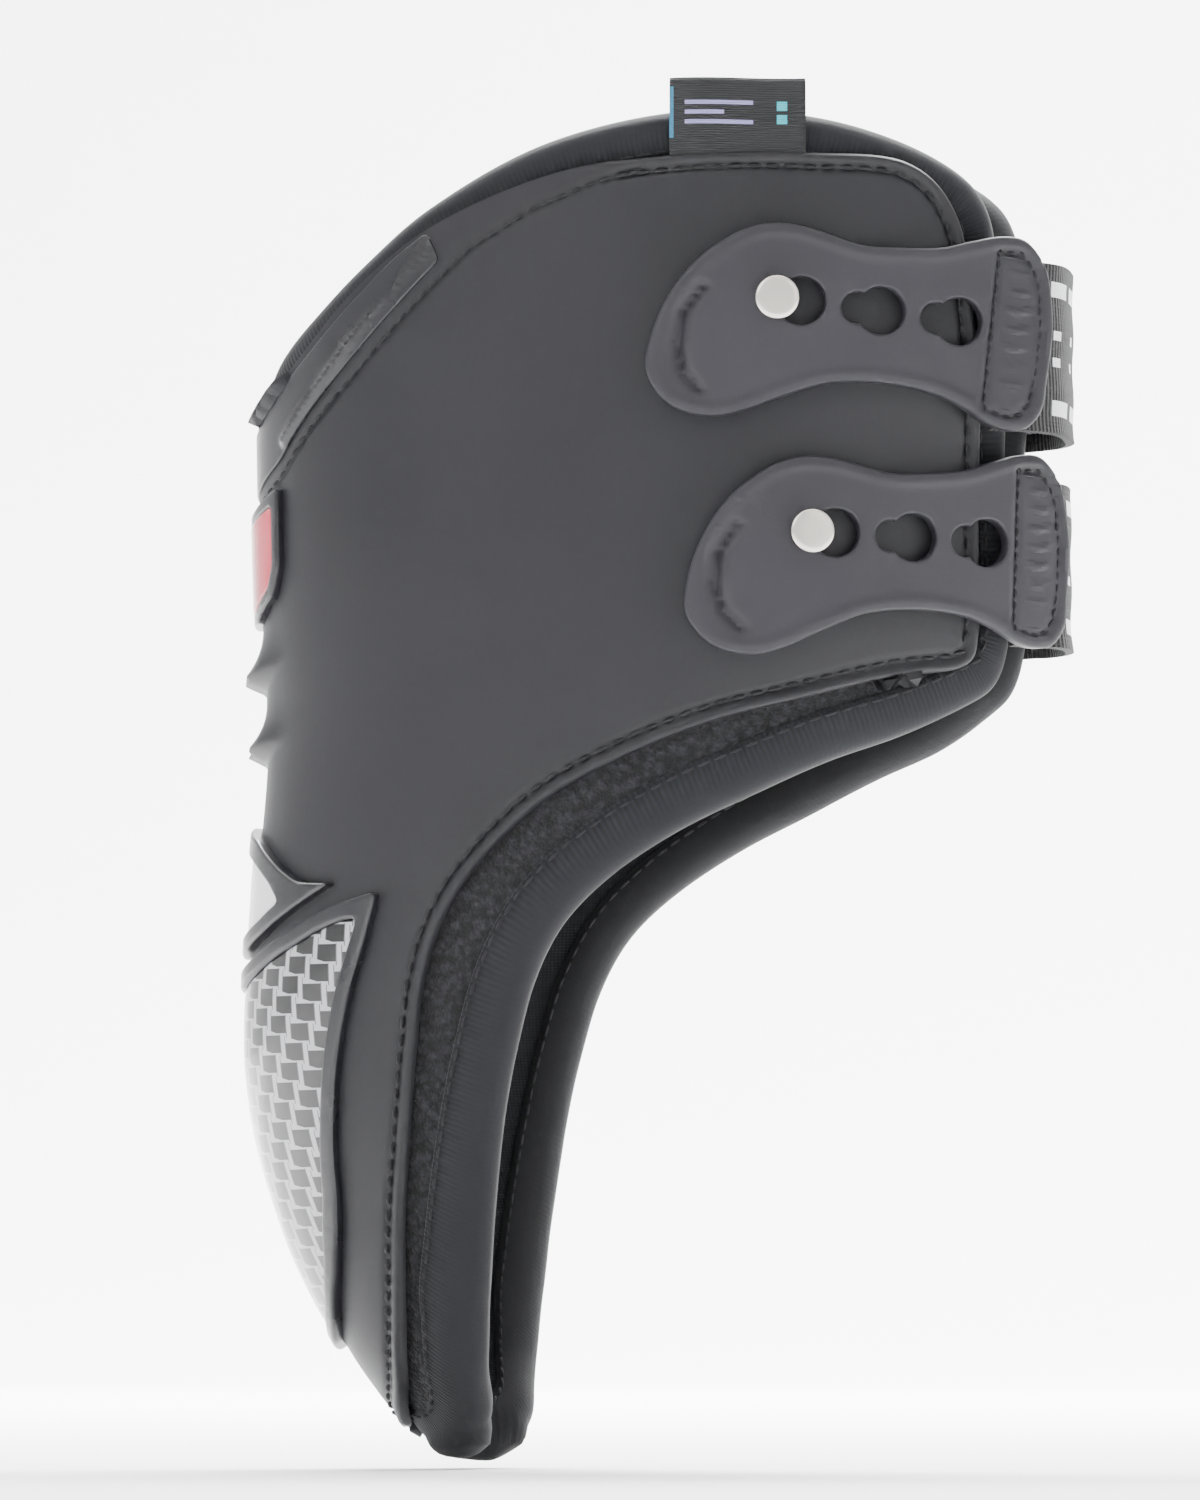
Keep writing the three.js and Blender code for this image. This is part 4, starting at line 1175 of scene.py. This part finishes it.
class BOOT_OT_label(bpy.types.Operator):
    """Folded woven label in the top edge"""
    bl_idname = "boot.label"
    bl_label = "Label"

    def execute(self, context):
        centre = float(distance_to(np.array([25.6]), np.array([249.0]))[0])

        def place(x, y):
            # up the outer leaf, over the fold and down the inner leaf
            k = (y + 1) / 2
            rise = np.interp(k, [0, 0.44, 0.5, 0.56, 1], [0, 17.4, 18.0, 17.4, 0])
            out = np.interp(k, [0, 0.2, 0.42, 0.5, 0.58, 0.8, 1], [-0.3, 0.2, 0.0, -0.7, -1.4, -1.7, -1.5])
            base = skin(-(centre - x * 13.2), np.full(len(x), 249.0), out + 0.15 * np.sin(x * 3))
            base[:, 2] = (245.6 + rise + 0.15 * np.sin(x * 2.5)) / 1000
            return base, np.stack([x * 13.2, rise - 10.6], 1)

        label = grid_piece(40, 44, place)
        face = max(label.data.polygons, key=lambda p: -p.center[1])
        if face.normal[1] > 0:
            label.data.flip_normals()
        apply_modifier(label, "SOLIDIFY", thickness=0.0003, offset=-1.0)
        settle(label, "folded_label", "boot", MATERIALS["label"], 60)
        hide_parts("woven_label")
        return {"FINISHED"}


class BOOT_PT_panel(bpy.types.Panel):
    """Lists the boot's pieces"""
    bl_idname = "BOOT_PT_panel"
    bl_label = "Tendon boot"
    bl_space_type = "VIEW_3D"
    bl_region_type = "UI"
    bl_category = "Tendon boot"

    def draw(self, context):
        for operator in PIECES:
            self.layout.operator(operator.bl_idname)


PIECES = (BOOT_OT_stage, BOOT_OT_shell, BOOT_OT_liner, BOOT_OT_binding, BOOT_OT_stitching, BOOT_OT_spine_trim,
          BOOT_OT_tabs, BOOT_OT_studs, BOOT_OT_elastics, BOOT_OT_label)
CLASSES = (BootSizes, BootColours, *PIECES, BOOT_PT_panel)


def register():
    for item in CLASSES:
        bpy.utils.register_class(item)
    bpy.types.Scene.boot_sizes = PointerProperty(type=BootSizes)
    bpy.types.Scene.boot_colours = PointerProperty(type=BootColours)


def unregister():
    del bpy.types.Scene.boot_colours
    del bpy.types.Scene.boot_sizes
    for item in reversed(CLASSES):
        bpy.utils.unregister_class(item)


def main():
    register()
    make_materials()
    for piece in PIECES:
        category, name = piece.bl_idname.split(".")
        getattr(getattr(bpy.ops, category), name)()
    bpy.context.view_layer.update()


if __name__ == "__main__":
    main()
